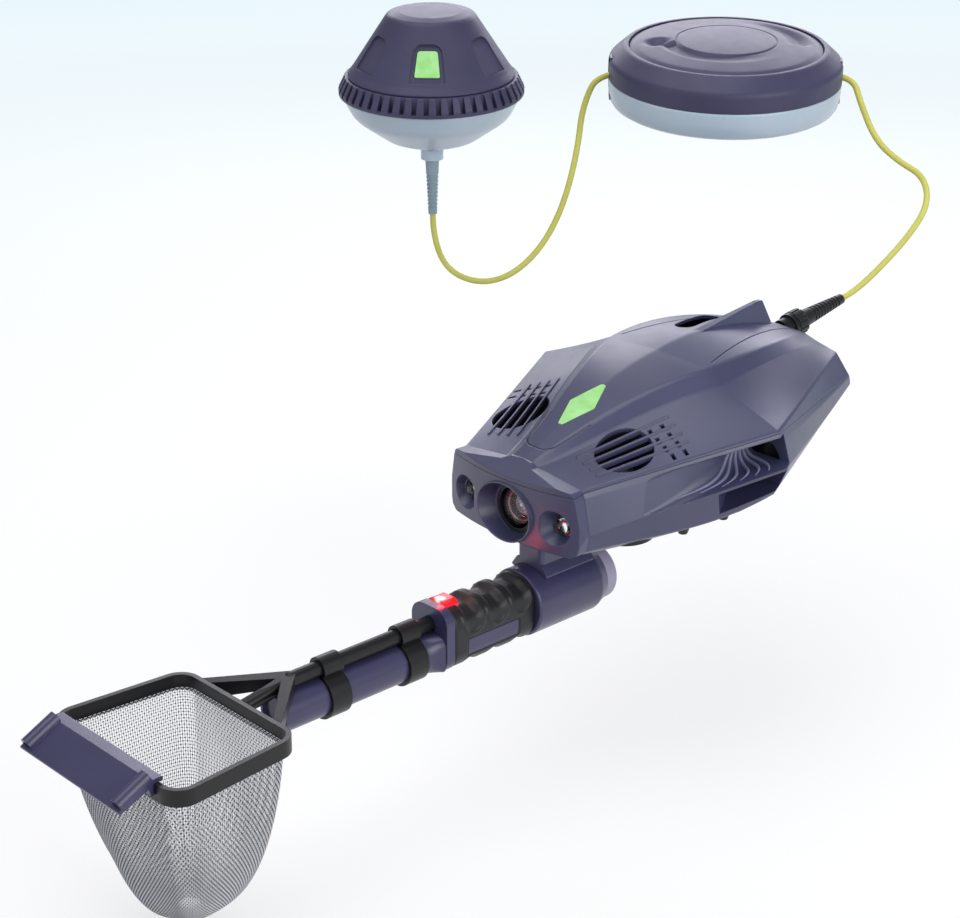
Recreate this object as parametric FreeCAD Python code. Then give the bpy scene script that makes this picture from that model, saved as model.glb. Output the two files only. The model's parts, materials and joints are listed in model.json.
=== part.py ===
import FreeCAD, Part
import math
import os
from FreeCAD import Vector, Placement, Rotation

# Underwater inspection vehicle with a net arm, a floating tether winder and a radio buoy.
# Millimetres. +Z up, nose toward -Y, +X to port. The origin is the hull's centre of buoyancy.

# ---------------------------------------------------------------- hull
BELLY_Z = -40.0
WALL = 2.2
NOSE_Y = -110.0
NECK_Y = -80.0
BROW_Y = -50.0
BROW_HEIGHT = 69.0
BEAM_Y = -2.0
AFT_Y = 55.0
TAIL_Y = 117.0
NOSE_HALF = 48.0
BEAM_HALF = 95.0
TAIL_HALF = 50.0
NOSE_HEIGHT = 38.0
BEAM_HEIGHT = 57.0
BACK_HEIGHT = 84.5
TAIL_HEIGHT = 69.0
BELLY_HALF = 60.0
SIDE_FOOT = 19.0
AFT_RISE = 8.0
TAIL_RISE = 28.0
CORNER_R = 3.0
CREST = 4.5
BELLY_SKIM = 0.2
PART_DROP = 1.5
HOOD_GAP = 0.2

# nose face
BEZEL_BULGE = 14.0
BEZEL_STEP = 6.5
EYE_HEIGHT = 15.5
EYE_R = 16.5
EYE_HALF = 20.5
EYE_LIP = 0.8
EYE_WINDOW_R = 12.0
EYE_DEPTH = 8.5
LAMP_X = 36.5
LAMP_R = 11.0
LAMP_HALF = 11.8
LAMP_LENS_R = 4.6
LAMP_DEPTH = 9.0

# vertical thrusters
FRONT_DUCT_X = 41.0
FRONT_DUCT_Y = -72.0
REAR_DUCT_Y = 64.0
VERT_BORE = 16.5
DUCT_WALL = 1.5
# side thrusters
SIDE_BORE = 12.0
INTAKE_X = 76.0
INTAKE_Y = 5.0
INTAKE_HEIGHT = 36.0
OUTLET_X = 27.0
OUTLET_HEIGHT = 45.0
# every thruster
TIP_GAP = 0.9
BLADES = 3
BLADE_THICK = 1.2
HUB_R = 5.0
HUB_H = 8.0
MOTOR_R = 6.0
MOTOR_H = 12.0
SHAFT_R = 1.5
RUN_FIT = 0.05
RUN_GAP = 0.5
STRUT_W = 2.0

# side scoops
SCOOP_WALL = 1.6
SCOOP_BACK = 3.0
LEDGE_NOSE = 12.8
LEDGE_BEAM = 37.0
SCOOP_TOP_DROP = 3.6
VANE_H = 2.2
VANE_W = 1.6
VANE_INSET = 1.2

# front grilles
GRILLE_BARS = 4
GRILLE_BAR_W = 1.3
GRILLE_PITCH = 6.9
GRILLE_OFFSET = 2.2
GRILLE_SKEW = 20.5
GRILLE_LENGTH = 56.0
GRILLE_RAISE = 0.6
SLOT_L = 4.8
SLOT_W = 2.2
GROOVE_DEPTH = 0.6
GROOVE_WIDTH = 0.8

# light window
EMBLEM_Y = -63.5
EMBLEM_HALF_LENGTH = 17.5
EMBLEM_HALF_WIDTH = 9.5

# fin
FIN_FRONT_Y = 20.0
FIN_REAR_Y = 96.0
FIN_PEAK_Y = 89.0
FIN_HEIGHT = 92.0
FIN_HALF = 7.0
FIN_SLOT_X = -17.5
FIN_SLOT_Y = 53.0
FIN_SLOT_L = 42.0
FIN_SLOT_W = 13.0

# tether connector
SOCKET_HEIGHT = 68.5
SOCKET_R = 6.5
LOCK_R = 8.2
LOCK_L = 7.0
BOOT_L = 40.0
CABLE_D = 4.0

# canister
CAN_R = 19.5
CAN_WALL = 2.0
CAN_FRONT_Y = -86.0
CAN_BACK_Y = 32.0
CAN_LIFT = 27.0

# ---------------------------------------------------------------- arm
ARM_Z = BELLY_Z - 43.5
BARREL_R = 20.0
BARREL_FRONT = -114.0
BARREL_BACK = -57.0
CAP_R = 17.0
CAP_L = 9.0
PYLON_HALF = 10.0
PYLON_FRONT = -104.0
PYLON_BACK = -66.0
GRIP_W = 30.0
GRIP_H = 37.0
GRIP_CORNER = 12.0
GRIP_FRONT = -174.0
GROOVES = 4
GROOVE_R = 7.0
GROOVE_SINK = 2.4
CORE_R = 11.0
FLANGE_T = 6.0
FLANGE_W = 29.0
FLANGE_H = 37.5
TUBE_Z = BELLY_Z - 50.3
TUBE_R = 11.0
TUBE_WALL = 1.8
TUBE_FRONT = -288.0
ROD_Z = BELLY_Z - 34.4
ROD_R = 4.5
ROD_FIT = 0.05
ROD_BACK = -124.0
CLIP_T = 2.0
CLIP_W = 13.0
CLIP_YS = (-198.0, -252.0)

# ---------------------------------------------------------------- net
NET_BACK_Y = -308.0
NET_FRONT_Y = -388.0
NET_BACK_HALF = 48.0
NET_FRONT_HALF = 55.0
STRIP_H = 9.0
STRIP_T = 3.0
STRIP_TOP = BELLY_Z - 34.5
NET_CORNER = 12.0
FORK_Y = -276.0
FORK_REACH = 33.0
FORK_T = 3.0
BAG_DEPTH = 102.0
BAG_SKIN = 1.2
SCRAPER_HALF = 43.0
SCRAPER_X = -5.0
SCRAPER_REACH = 20.0
SCRAPER_T = 2.4
SCRAPER_DIP = 8.0
CURL_R = 4.0

# ---------------------------------------------------------------- floats
VIEW_TURN = 47.0
WINDER_AT = Vector(-109.0, 175.0, 158.0)
WINDER_LEAN = 6.0
WINDER_R = 75.0
WINDER_TOP = 21.0
WINDER_SHOULDER = 12.0
WINDER_BASE = -26.0
WINDER_BASE_R = 52.0
WINDER_WALL = 2.4
DIAL_R = 62.0
DIAL_CROWN = 4.5
HUB_DISC_R = 32.0
SPOOL_R = 57.0
SPOOL_CORE_R = 30.0
SPOOL_FLANGE = 1.8
SPOOL_H = 24.0
SPOOL_LOW = -16.0
COIL_R = 55.0
SPINDLE_R = 5.0
BUOY_AT = Vector(-237.0, 36.0, 154.0)
BUOY_LEAN = 4.0
BUOY_R = 60.0
BUOY_TOP = 46.0
BUOY_TOP_R = 28.0
BUOY_RING_H = 12.0
BUOY_WALL = 2.2
BUOY_SLOTS = 48
BUOY_SLOT_W = 3.2
BOWL_DEPTH = 43.0
COLLAR_R = 7.4
COLLAR_H = 7.0
BUOY_BOOT_L = 38.0
BUOY_PANELS = 6
SLOT_ANGLES = (VIEW_TURN + 180.0, VIEW_TURN - 6.0)
BUOY_WINDOW_ANGLE = VIEW_TURN - 90.0 - 2.0

# Scoop skin and vane lines
SCOOP_STATIONS = ((-92, 63.0, 59.0, 2), (-80, 65.3, 61.0, 3), (-64, 69.5, 65.0, 5), (-50, 72.0, 68.5, 8),
                  (-34, 73.0, 70.5, 10), (-18, 72.0, 70.0, 10), (SCOOP_BACK, 66.0, 64.5, 10))
SCOOP_REACH = 130.0
VANES = (((70, -72), (76, -42), (70, 5)), ((76, -59), (81, -33), (75.5, 5)), ((81.5, -47), (85.5, -25), (81, 5)),
         ((86.5, -36), (90, -17), (86.3, 5)), ((91, -26), (94, -11), (91.5, 5)))

# Belly screws and feet
BELLY_SCREWS = ((26, -14), (-26, -14), (30, -52), (-30, -52))
FEET = ((58, -40), (-58, -40), (60, -8), (-60, -8))

# Tether routes
TETHER_LEAD = 13.0
TETHER_LEAD_UP = 16.0
TETHER_LOWER = [(11, 194, 54), (16, 212, 70), (18, 229, 88), (9, 235, 104), (-8, 229, 112),
                (-21, 222, 124), (-34, 222, 144)]
TETHER_UPPER = [(-171, 108, 139), (-168, 101, 111), (-170, 91, 76), (-175, 76, 49), (-186, 59, 31),
                (-203, 45, 25), (-224, 36, 32)]


def up(height):
    return BELLY_Z + height


# ---------------------------------------------------------------- shape helpers
def flat(u, v):
    return Vector(u, v, 0)


def rounded_wire(points, radii, lift):
    """Closed wire through 2-D points, each corner rounded to its radius, placed by lift(u, v)."""
    if not isinstance(radii, (list, tuple)):
        radii = [radii] * len(points)
    arcs = []
    for index, (here, radius) in enumerate(zip(points, radii)):
        corner = flat(*here)
        back = flat(*points[index - 1]) - corner
        ahead = flat(*points[(index + 1) % len(points)]) - corner
        half_turn = (math.pi - back.getAngle(ahead)) / 2
        reach = min(radius * math.tan(half_turn), 0.45 * min(back.Length, ahead.Length))
        if reach < 1e-4:
            arcs.append((corner, None, corner))
            continue
        back.normalize()
        ahead.normalize()
        inward = back + ahead
        inward.normalize()
        depth = reach * (1 / math.sin(half_turn) - 1 / math.tan(half_turn))
        arcs.append((corner + back * reach, corner + inward * depth, corner + ahead * reach))
    edges = []
    for index, (start, middle, end) in enumerate(arcs):
        if middle is not None:
            edges.append(Part.Arc(lift(start.x, start.y), lift(middle.x, middle.y), lift(end.x, end.y)).toShape())
        following = arcs[(index + 1) % len(arcs)][0]
        edges.append(Part.LineSegment(lift(end.x, end.y), lift(following.x, following.y)).toShape())
    return Part.Wire(edges)


def prism_x(points, x0, x1, radii=0.0):
    wire = rounded_wire(points, radii, lambda u, v: Vector(x0, u, v))
    return Part.Face(wire).extrude(Vector(x1 - x0, 0, 0))


def prism_y(points, y0, y1, radii=0.0):
    wire = rounded_wire(points, radii, lambda u, v: Vector(u, y0, v))
    return Part.Face(wire).extrude(Vector(0, y1 - y0, 0))


def prism_z(points, z0, z1, radii=0.0):
    wire = rounded_wire(points, radii, lambda u, v: Vector(u, v, z0))
    return Part.Face(wire).extrude(Vector(0, 0, z1 - z0))


def box(x0, x1, y0, y1, z0, z1):
    return Part.makeBox(x1 - x0, y1 - y0, z1 - z0, Vector(x0, y0, z0))


def rod(radius, start, end):
    axis = end - start
    return Part.makeCylinder(radius, axis.Length, start, axis)


def cone(r0, r1, start, end):
    axis = end - start
    if abs(r0 - r1) < 1e-6:
        return rod(r0, start, end)
    return Part.makeCone(r0, r1, axis.Length, start, axis)


def tube(outer, inner, start, end):
    axis = end - start
    axis.normalize()
    return rod(outer, start, end).cut(rod(inner, start - axis, end + axis))


def turned(profile, radii=0.0):
    """Solid of revolution about Z from (radius, z) points."""
    wire = rounded_wire(profile, radii, lambda u, v: Vector(u, 0, v))
    return Part.Face(wire).revolve(Vector(0, 0, 0), Vector(0, 0, 1), 360)


def around(shape, count, first=0.0):
    copies = []
    for index in range(count):
        copy = shape.copy()
        copy.rotate(Vector(0, 0, 0), Vector(0, 0, 1), first + 360.0 * index / count)
        copies.append(copy)
    return copies


def fused(shapes):
    whole = shapes[0].multiFuse(shapes[1:]) if len(shapes) > 1 else shapes[0]
    return whole.removeSplitter()


def mirrored(shape):
    return shape.mirror(Vector(0, 0, 0), Vector(1, 0, 0))


def aimed(shape, at, direction):
    """Move a shape made about +Z from the origin so that it stands at a point along a direction."""
    copy = shape.copy()
    copy.Placement = Placement(at, Rotation(Vector(0, 0, 1), direction)).multiply(copy.Placement)
    return copy


def inset(points, depth):
    """Sides of a closed 2-D polygon moved inward."""
    area = sum(points[i - 1][0] * points[i][1] - points[i][0] * points[i - 1][1] for i in range(len(points)))
    sign = 1.0 if area > 0 else -1.0
    lines = []
    for index, (u, v) in enumerate(points):
        ahead_u, ahead_v = points[(index + 1) % len(points)]
        length = math.hypot(ahead_u - u, ahead_v - v)
        du, dv = (ahead_u - u) / length, (ahead_v - v) / length
        lines.append((u - sign * dv * depth, v + sign * du * depth, du, dv))
    moved = []
    for index in range(len(points)):
        u0, v0, du0, dv0 = lines[index - 1]
        u1, v1, du1, dv1 = lines[index]
        cross = du0 * dv1 - dv0 * du1
        if abs(cross) < 1e-6:
            moved.append((u1, v1))
            continue
        along = ((u1 - u0) * dv1 - (v1 - v0) * du1) / cross
        moved.append((u0 + along * du0, v0 + along * dv0))
    return moved


# ---------------------------------------------------------------- hull form
def shoulder(y):
    """Half width and height of the shoulder line between nose and beam."""
    share = (y - NOSE_Y) / (BEAM_Y - NOSE_Y)
    return NOSE_HALF + (BEAM_HALF - NOSE_HALF) * share, NOSE_HEIGHT + (BEAM_HEIGHT - NOSE_HEIGHT) * share


def hull_sections():
    """Half sections from nose to tail.

    Each runs crown, panel edge, panel foot, shoulder, waist, crest, side foot, belly edge.
    """
    neck_half, neck_height = shoulder(NECK_Y)
    brow_half, brow_height = shoulder(BROW_Y)
    aft_share = (AFT_Y - BEAM_Y) / (TAIL_Y - BEAM_Y)
    aft_half = BEAM_HALF + (TAIL_HALF - BEAM_HALF) * aft_share
    nose_crest, neck_crest, brow_crest, beam_crest = [
        ledge_height(y) - up(0) for y in (NOSE_Y, NECK_Y, BROW_Y, BEAM_Y)]
    return [
        (NOSE_Y, [(0, NOSE_HEIGHT + 6), (8, NOSE_HEIGHT + 5.4), (12, NOSE_HEIGHT + 3.6), (NOSE_HALF - 1.5, NOSE_HEIGHT),
                  (NOSE_HALF, NOSE_HEIGHT - 4), (NOSE_HALF + CREST, nose_crest), (NOSE_HALF + 2, 3),
                  (NOSE_HALF - 2, -BELLY_SKIM)]),
        (NECK_Y, [(0, NOSE_HEIGHT + 19), (14, NOSE_HEIGHT + 18), (20.5, NOSE_HEIGHT + 12), (neck_half - 2, neck_height),
                  (neck_half - 0.5, neck_height - 5), (neck_half + CREST, neck_crest), (neck_half + 0.5, 5),
                  (BELLY_HALF - 6, -BELLY_SKIM)]),
        (BROW_Y, [(0, BROW_HEIGHT + 0.5), (23, BROW_HEIGHT - 1), (31, BROW_HEIGHT - 8.5), (brow_half - 2.5, brow_height),
                  (brow_half - 0.5, brow_height - 6), (brow_half + CREST, brow_crest), (brow_half - 1, 7),
                  (BELLY_HALF, -BELLY_SKIM)]),
        (BEAM_Y, [(0, BACK_HEIGHT - 3), (38.5, BACK_HEIGHT - 5), (49, BACK_HEIGHT - 12.5), (BEAM_HALF - 3, BEAM_HEIGHT),
                  (BEAM_HALF - 0.5, BEAM_HEIGHT - 6), (BEAM_HALF + CREST, beam_crest), (BEAM_HALF - 4, SIDE_FOOT),
                  (BELLY_HALF + 6, -BELLY_SKIM)]),
        (AFT_Y, [(0, BACK_HEIGHT), (36, BACK_HEIGHT - 3.5), (44, BACK_HEIGHT - 9.5), (aft_half - 6, BEAM_HEIGHT + 3),
                 (aft_half - 0.5, BEAM_HEIGHT - 8), (aft_half + 1.5, BEAM_HEIGHT - 19), (aft_half - 3, SIDE_FOOT + 11),
                 (BELLY_HALF - 5, AFT_RISE)]),
        (TAIL_Y, [(0, TAIL_HEIGHT), (12, TAIL_HEIGHT - 1), (24, TAIL_HEIGHT - 4.5), (TAIL_HALF - 12, TAIL_HEIGHT - 7.5),
                  (TAIL_HALF - 1, BEAM_HEIGHT - 8), (TAIL_HALF, BEAM_HEIGHT - 13), (TAIL_HALF - 4, BEAM_HEIGHT - 18),
                  (TAIL_HALF - 14, TAIL_RISE)]),
    ]


def hull_form(depth):
    """The hull's outer form, or the same form moved inward: a smooth front and a smooth rear that meet at the beam."""
    radii = [20, 5, 6, CORNER_R, CORNER_R, 2.5, CORNER_R, 6]
    sections = hull_sections()
    stations = [y for y, half in sections]
    wires = []
    for y, half in sections:
        loop = half + [(-x, z) for x, z in reversed(half[1:])]
        loop_radii = radii + [r for r in reversed(radii[1:])]
        if depth:
            loop = inset(loop, depth)
        shift = depth if y == stations[0] else (-depth if y == stations[-1] else 0)
        wires.append(rounded_wire(loop, [max(0.6, r - depth) for r in loop_radii],
                                  lambda u, v, y=y + shift: Vector(u, y, up(v))))
    beam = stations.index(BEAM_Y)
    front = Part.makeLoft(wires[:beam + 1], True, False)
    rear = Part.makeLoft(wires[beam:], True, False)
    return front.fuse(rear).cut(box(-150, 150, NOSE_Y - 20, TAIL_Y + 20, up(-20), up(depth)))


def parting_prism(above, gap=0.0):
    """Everything above, or below, the hull's parting line."""
    line = [(NOSE_Y - 30, up(NOSE_HEIGHT - PART_DROP - 4)), (NOSE_Y, up(NOSE_HEIGHT - PART_DROP)),
            (BEAM_Y, up(BEAM_HEIGHT - PART_DROP)), (TAIL_Y + 20, up(BEAM_HEIGHT - PART_DROP - 8))]
    far = 200.0 if above else -200.0
    shifted = [(y, z + gap) for y, z in line]
    return prism_x(shifted + [(shifted[-1][0], far), (shifted[0][0], far)], -150, 150)


# ---------------------------------------------------------------- side scoops
def ledge_height(y):
    slope = (LEDGE_BEAM - LEDGE_NOSE) / (BEAM_Y - NOSE_Y)
    return up(LEDGE_NOSE + slope * (y - NOSE_Y))


def side_top(y):
    slope = (BEAM_HEIGHT - NOSE_HEIGHT) / (BEAM_Y - NOSE_Y)
    return up(NOSE_HEIGHT + slope * (y - NOSE_Y) - SCOOP_TOP_DROP)


def side_foot(y):
    slope = (SIDE_FOOT - 7.0) / (BEAM_Y - BROW_Y)
    return up(7.0 + slope * (y - BROW_Y) + 2.2)


# Upper scoop, from the front: station, floor's inner edge, roof's inner edge, radius of the cove between wall and floor.


def upper_pocket(grow=0.0, roof=None):
    """Space above the ledge: its wall leaves the side without an edge and sweeps in behind it."""
    lift = grow if roof is None else roof
    wires = []
    for y, floor_x, roof_x, cove in SCOOP_STATIONS:
        place = y
        if y == SCOOP_STATIONS[0][0]:
            place = y - abs(grow)
        if y == SCOOP_BACK:
            place = y + abs(grow)
        points = [(roof_x - grow, side_top(y) + lift), (floor_x - grow, ledge_height(y) - grow),
                  (SCOOP_REACH, ledge_height(y) - grow), (SCOOP_REACH, side_top(y) + lift)]
        wires.append(rounded_wire(points, [1.5 + abs(grow), max(0.4, cove + grow), 0, 0],
                                  lambda u, v, place=place: Vector(u, place, v)))
    return Part.makeLoft(wires, True, False)


def lower_pocket(grow=0.0):
    """Space under the ledge, open toward the rear half of the side."""
    y0, y1 = -46.0 - grow, SCOOP_BACK + grow
    lid = SCOOP_WALL + 0.2
    side = [(y0, side_foot(y0) - grow), (y1, side_foot(y1) - grow),
            (y1, ledge_height(y1) - lid + grow), (y0, ledge_height(y0) - lid + grow)]
    plan = [(86.0 - grow, y0), (76.0 - grow, -28.0), (66.0 - grow, -12.0), (64.0 - grow, y1),
            (SCOOP_REACH, y1), (SCOOP_REACH, y0)]
    return prism_z(plan, up(0), up(90), [0, 10, 10, 3, 0, 0]).common(prism_x(side, 30, 120))


def thruster_axis():
    start = Vector(INTAKE_X, INTAKE_Y, up(INTAKE_HEIGHT))
    end = Vector(OUTLET_X, TAIL_Y, up(OUTLET_HEIGHT))
    return start, end


# Guide vanes in plan: where each leaves the crest, its own crest, and where it reaches the back wall.


def scoop_vanes():
    """Curved guide vanes that stand on the port scoop's floor and run up its cove."""
    skin = upper_pocket().cut(upper_pocket(-VANE_H, VANE_H * 2))
    reach = [(NOSE_HALF + CREST + (BEAM_HALF - NOSE_HALF) * (y - NOSE_Y) / (BEAM_Y - NOSE_Y) - VANE_INSET, y)
             for y in (NOSE_Y, SCOOP_BACK)]
    side = prism_z([(30, NOSE_Y), reach[0], reach[1], (30, SCOOP_BACK)], up(0), up(90))
    space = skin.common(side)
    vanes = []
    for start, crest, end in VANES:
        circle = Part.Arc(flat(*start), flat(*crest), flat(*end)).toShape().Curve
        foot = circle.Center + Vector(0, 0, up(0))
        wall = tube(circle.Radius + VANE_W / 2, circle.Radius - VANE_W / 2, foot, foot + Vector(0, 0, 90))
        vanes.append(largest(wall.common(space)))
    return vanes


def largest(shape):
    return max(shape.Solids, key=lambda solid: solid.Volume)


# ---------------------------------------------------------------- nose
def bezel_plan():
    """Plan of the bulging nose face."""
    half = NOSE_HALF + 3
    front = NOSE_Y - BEZEL_STEP
    wire = [Part.LineSegment(Vector(NOSE_HALF + CREST + 1, NOSE_Y, 0), Vector(half, front, 0)).toShape(),
            Part.Arc(Vector(half, front, 0), Vector(0, front - BEZEL_BULGE + BEZEL_STEP, 0),
                     Vector(-half, front, 0)).toShape(),
            Part.LineSegment(Vector(-half, front, 0), Vector(-NOSE_HALF - CREST - 1, NOSE_Y, 0)).toShape(),
            Part.LineSegment(Vector(-NOSE_HALF - CREST - 1, NOSE_Y, 0),
                             Vector(NOSE_HALF + CREST + 1, NOSE_Y, 0)).toShape()]
    return Part.Face(Part.Wire(wire))


def eye_front():
    return NOSE_Y - BEZEL_BULGE


def nose_block():
    """The bulging nose in front of the hull: its top part is the hood's visor, the rest is the bezel."""
    plan = bezel_plan()
    plan.translate(Vector(0, 0, up(-10)))
    body = plan.extrude(Vector(0, 0, 80))
    crest = ledge_height(NOSE_Y) - up(0)
    front_view = [(0, NOSE_HEIGHT + 6), (8, NOSE_HEIGHT + 5.4), (12, NOSE_HEIGHT + 3.6), (NOSE_HALF - 1.5, NOSE_HEIGHT),
                  (NOSE_HALF, NOSE_HEIGHT - 4), (NOSE_HALF + CREST, crest), (NOSE_HALF + 2, 3), (NOSE_HALF - 2, 0.2),
                  (0, 0.2)]
    loop = [(x, up(z)) for x, z in front_view + [(-x, z) for x, z in reversed(front_view[1:-1])]]
    body = body.common(prism_y(loop, NOSE_Y - 30, NOSE_Y, 2.5))
    drop = prism_x([(NOSE_Y - 30, up(60)), (NOSE_Y - 30, up(NOSE_HEIGHT - 11)), (NOSE_Y - BEZEL_BULGE, up(NOSE_HEIGHT - 1)),
                    (NOSE_Y, up(NOSE_HEIGHT + 6.2)), (NOSE_Y, up(60))], -80, 80)
    return body.cut(drop)


def visor():
    """Front of the hood, over the bezel."""
    return nose_block().common(parting_prism(True, HOOD_GAP))


def oval(half_x, half_z, y, height):
    """Upright oval wire that faces the nose."""
    if abs(half_x - half_z) < 1e-6:
        edge = Part.Circle(Vector(0, 0, 0), Vector(0, 0, 1), half_x).toShape()
    else:
        edge = Part.Ellipse(Vector(0, 0, 0), half_x, half_z).toShape()
    edge.rotate(Vector(0, 0, 0), Vector(1, 0, 0), 90)
    edge.translate(Vector(0, y, up(height)))
    return Part.Wire([edge])


def funnel(wide_x, wide_z, y0, narrow_x, narrow_z, y1, height):
    return Part.makeLoft([oval(wide_x, wide_z, y0, height), oval(narrow_x, narrow_z, y1, height)], True, True)


def nose_bezel():
    body = nose_block().common(parting_prism(False))
    front = eye_front()
    collar = funnel(EYE_HALF + EYE_LIP, EYE_R + EYE_LIP, front - 1.2, EYE_HALF + 1.6, EYE_R + 1.6, NOSE_Y, EYE_HEIGHT)
    body = body.fuse(collar.common(parting_prism(False)))
    body = body.cut(camera_seat())
    for side in (-1, 1):
        body = body.cut(lamp_funnel(side))
    return largest(body)


def camera_seat():
    """The camera's oval funnel and the through bore behind it."""
    front = eye_front()
    back = front + EYE_DEPTH
    seat_r = EYE_WINDOW_R + 2.5
    mouth = funnel(EYE_HALF, EYE_R, front - 1.3, seat_r + 1.0, seat_r, back, EYE_HEIGHT)
    bore = rod(seat_r, Vector(0, back - 0.1, up(EYE_HEIGHT)), Vector(0, NOSE_Y + 7, up(EYE_HEIGHT)))
    return mouth.fuse(bore)


def lamp_seat(side):
    """Front point, back point and direction of a lamp, square to the nose face."""
    front = Vector(side * LAMP_X, NOSE_Y - BEZEL_STEP - 4.0, up(EYE_HEIGHT))
    direction = Vector(-side * 0.05, 1, 0.0)
    direction.normalize()
    return front, direction


def lamp_funnel(side):
    """Oval funnel and bore of a lamp."""
    front, direction = lamp_seat(side)
    back = front + direction * (LAMP_DEPTH - 2)
    mouth = funnel(LAMP_HALF, LAMP_R, front.y - 1.5, LAMP_LENS_R + 2, LAMP_LENS_R + 1.2, back.y, EYE_HEIGHT)
    mouth.translate(Vector(front.x, 0, 0))
    bore = rod(LAMP_LENS_R + 1.2, front + direction * (LAMP_DEPTH - 3), front + direction * (LAMP_DEPTH + 3))
    return mouth.fuse(bore)


def camera_housing():
    """Ring, tube and back plate that hold the camera window."""
    z = up(EYE_HEIGHT)
    front = eye_front() + EYE_DEPTH
    outer = rod(EYE_WINDOW_R + 2.45, Vector(0, front, z), Vector(0, front + 11, z))
    seat = rod(EYE_WINDOW_R + 0.05, Vector(0, front - 1, z), Vector(0, front + 2.2, z))
    inside = rod(EYE_WINDOW_R - 2, Vector(0, front, z), Vector(0, front + 9.5, z))
    return outer.cut(seat).cut(inside)


def camera_window():
    z = up(EYE_HEIGHT)
    front = eye_front() + EYE_DEPTH
    disc = rod(EYE_WINDOW_R, Vector(0, front + 0.2, z), Vector(0, front + 2.2, z))
    ball = Part.makeSphere(EYE_WINDOW_R * 2.2, Vector(0, front + EYE_WINDOW_R * 2.2 - 3.0, z))
    cap = ball.common(rod(EYE_WINDOW_R, Vector(0, front - 5, z), Vector(0, front + 0.3, z)))
    return disc.fuse(cap).removeSplitter()


def camera_lens():
    z = up(EYE_HEIGHT)
    front = eye_front() + EYE_DEPTH + 3.4
    stack = rod(EYE_WINDOW_R - 2.05, Vector(0, front, z), Vector(0, front + 6, z))
    hood = cone(7.5, 5.0, Vector(0, front - 0.1, z), Vector(0, front + 2.2, z))
    glass = Part.makeSphere(8.0, Vector(0, front + 8.8, z)).common(rod(5.0, Vector(0, front + 0.8, z), Vector(0, front + 3, z)))
    return stack.cut(hood).fuse(glass)


def lamp_cup(side):
    front, direction = lamp_seat(side)
    cup = rod(LAMP_LENS_R + 1.15, front + direction * (LAMP_DEPTH - 2), front + direction * (LAMP_DEPTH + 7))
    bowl = cone(LAMP_LENS_R, 2.4, front + direction * (LAMP_DEPTH - 3), front + direction * (LAMP_DEPTH + 4))
    seat = rod(LAMP_LENS_R + 0.05, front + direction * (LAMP_DEPTH - 3), front + direction * (LAMP_DEPTH - 0.5))
    return cup.cut(bowl).cut(seat)


def lamp_lens(side):
    front, direction = lamp_seat(side)
    base = front + direction * (LAMP_DEPTH - 0.5)
    disc = rod(LAMP_LENS_R, base - direction * 1.4, base)
    dome = Part.makeSphere(LAMP_LENS_R * 1.25, base + direction * (LAMP_LENS_R * 0.1))
    cap = dome.common(rod(LAMP_LENS_R - 0.3, base - direction * 8, base - direction * 1.3))
    return disc.fuse(cap).removeSplitter()


def lamp_chip(side):
    front, direction = lamp_seat(side)
    start = front + direction * (LAMP_DEPTH + 4)
    return rod(2.2, start - direction * 1.2, start)


# ---------------------------------------------------------------- hood and lower hull
def grille_region(side):
    """Round intake of a front thruster through the shoulder."""
    return rod(VERT_BORE, Vector(side * FRONT_DUCT_X, FRONT_DUCT_Y, up(20)),
               Vector(side * FRONT_DUCT_X, FRONT_DUCT_Y, up(90)))


def grille_bars():
    """Port grille bars: thin walls that follow the shoulder and stand a little proud of it."""
    bars = []
    for index in range(GRILLE_BARS):
        offset = GRILLE_OFFSET + (index - (GRILLE_BARS - 1) / 2) * GRILLE_PITCH
        bar = box(offset - GRILLE_BAR_W / 2, offset + GRILLE_BAR_W / 2,
                  -GRILLE_LENGTH / 2, GRILLE_LENGTH / 2, up(30), up(80))
        bar.rotate(Vector(0, 0, 0), Vector(0, 0, 1), -GRILLE_SKEW)
        bar.translate(Vector(FRONT_DUCT_X, FRONT_DUCT_Y + 5 + offset * 0.15, 0))
        bars.append(bar)
    return fused(bars)


def grille_slots():
    """Two columns of short cross slots behind the port intake."""
    slots = []
    for column in range(2):
        for row in range(GRILLE_BARS):
            slot = box(-SLOT_L / 2, SLOT_L / 2, -SLOT_W / 2, SLOT_W / 2, up(30), up(90))
            slot.translate(Vector(GRILLE_OFFSET + (row - 1.0) * GRILLE_PITCH, 18.5 + 7.5 * column + 1.2 * row, 0))
            slot.rotate(Vector(0, 0, 0), Vector(0, 0, 1), -GRILLE_SKEW)
            slot.translate(Vector(FRONT_DUCT_X, FRONT_DUCT_Y, 0))
            slots.append(slot)
    return slots


def fin():
    """Swept dorsal fin: a wedge that rises to its peak near the rear."""
    base = BACK_HEIGHT - 9
    side_view = [(FIN_FRONT_Y, up(base)), (FIN_FRONT_Y + 1, up(BACK_HEIGHT - 1)), (FIN_PEAK_Y - 4, up(FIN_HEIGHT)),
                 (FIN_PEAK_Y, up(FIN_HEIGHT)), (FIN_REAR_Y, up(TAIL_HEIGHT + 6)), (FIN_REAR_Y, up(base - 8))]
    blade = prism_x(side_view, -FIN_HALF, FIN_HALF, [0, 3, 2.5, 1.5, 1, 0])
    plan = [(-0.8, FIN_FRONT_Y - 2), (0.8, FIN_FRONT_Y - 2), (FIN_HALF, 62), (FIN_HALF - 3, FIN_REAR_Y + 1),
            (-FIN_HALF + 3, FIN_REAR_Y + 1), (-FIN_HALF, 62)]
    blade = blade.common(prism_z(plan, up(0), up(120), [0.3, 0.3, 20, 1, 1, 20]))
    taper = [(-FIN_HALF - 1, up(60)), (FIN_HALF + 1, up(60)), (1.4, up(FIN_HEIGHT + 0.5)), (-1.4, up(FIN_HEIGHT + 0.5))]
    return blade.common(prism_y(taper, 0, 150, [0, 0, 1.2, 1.2]))


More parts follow.
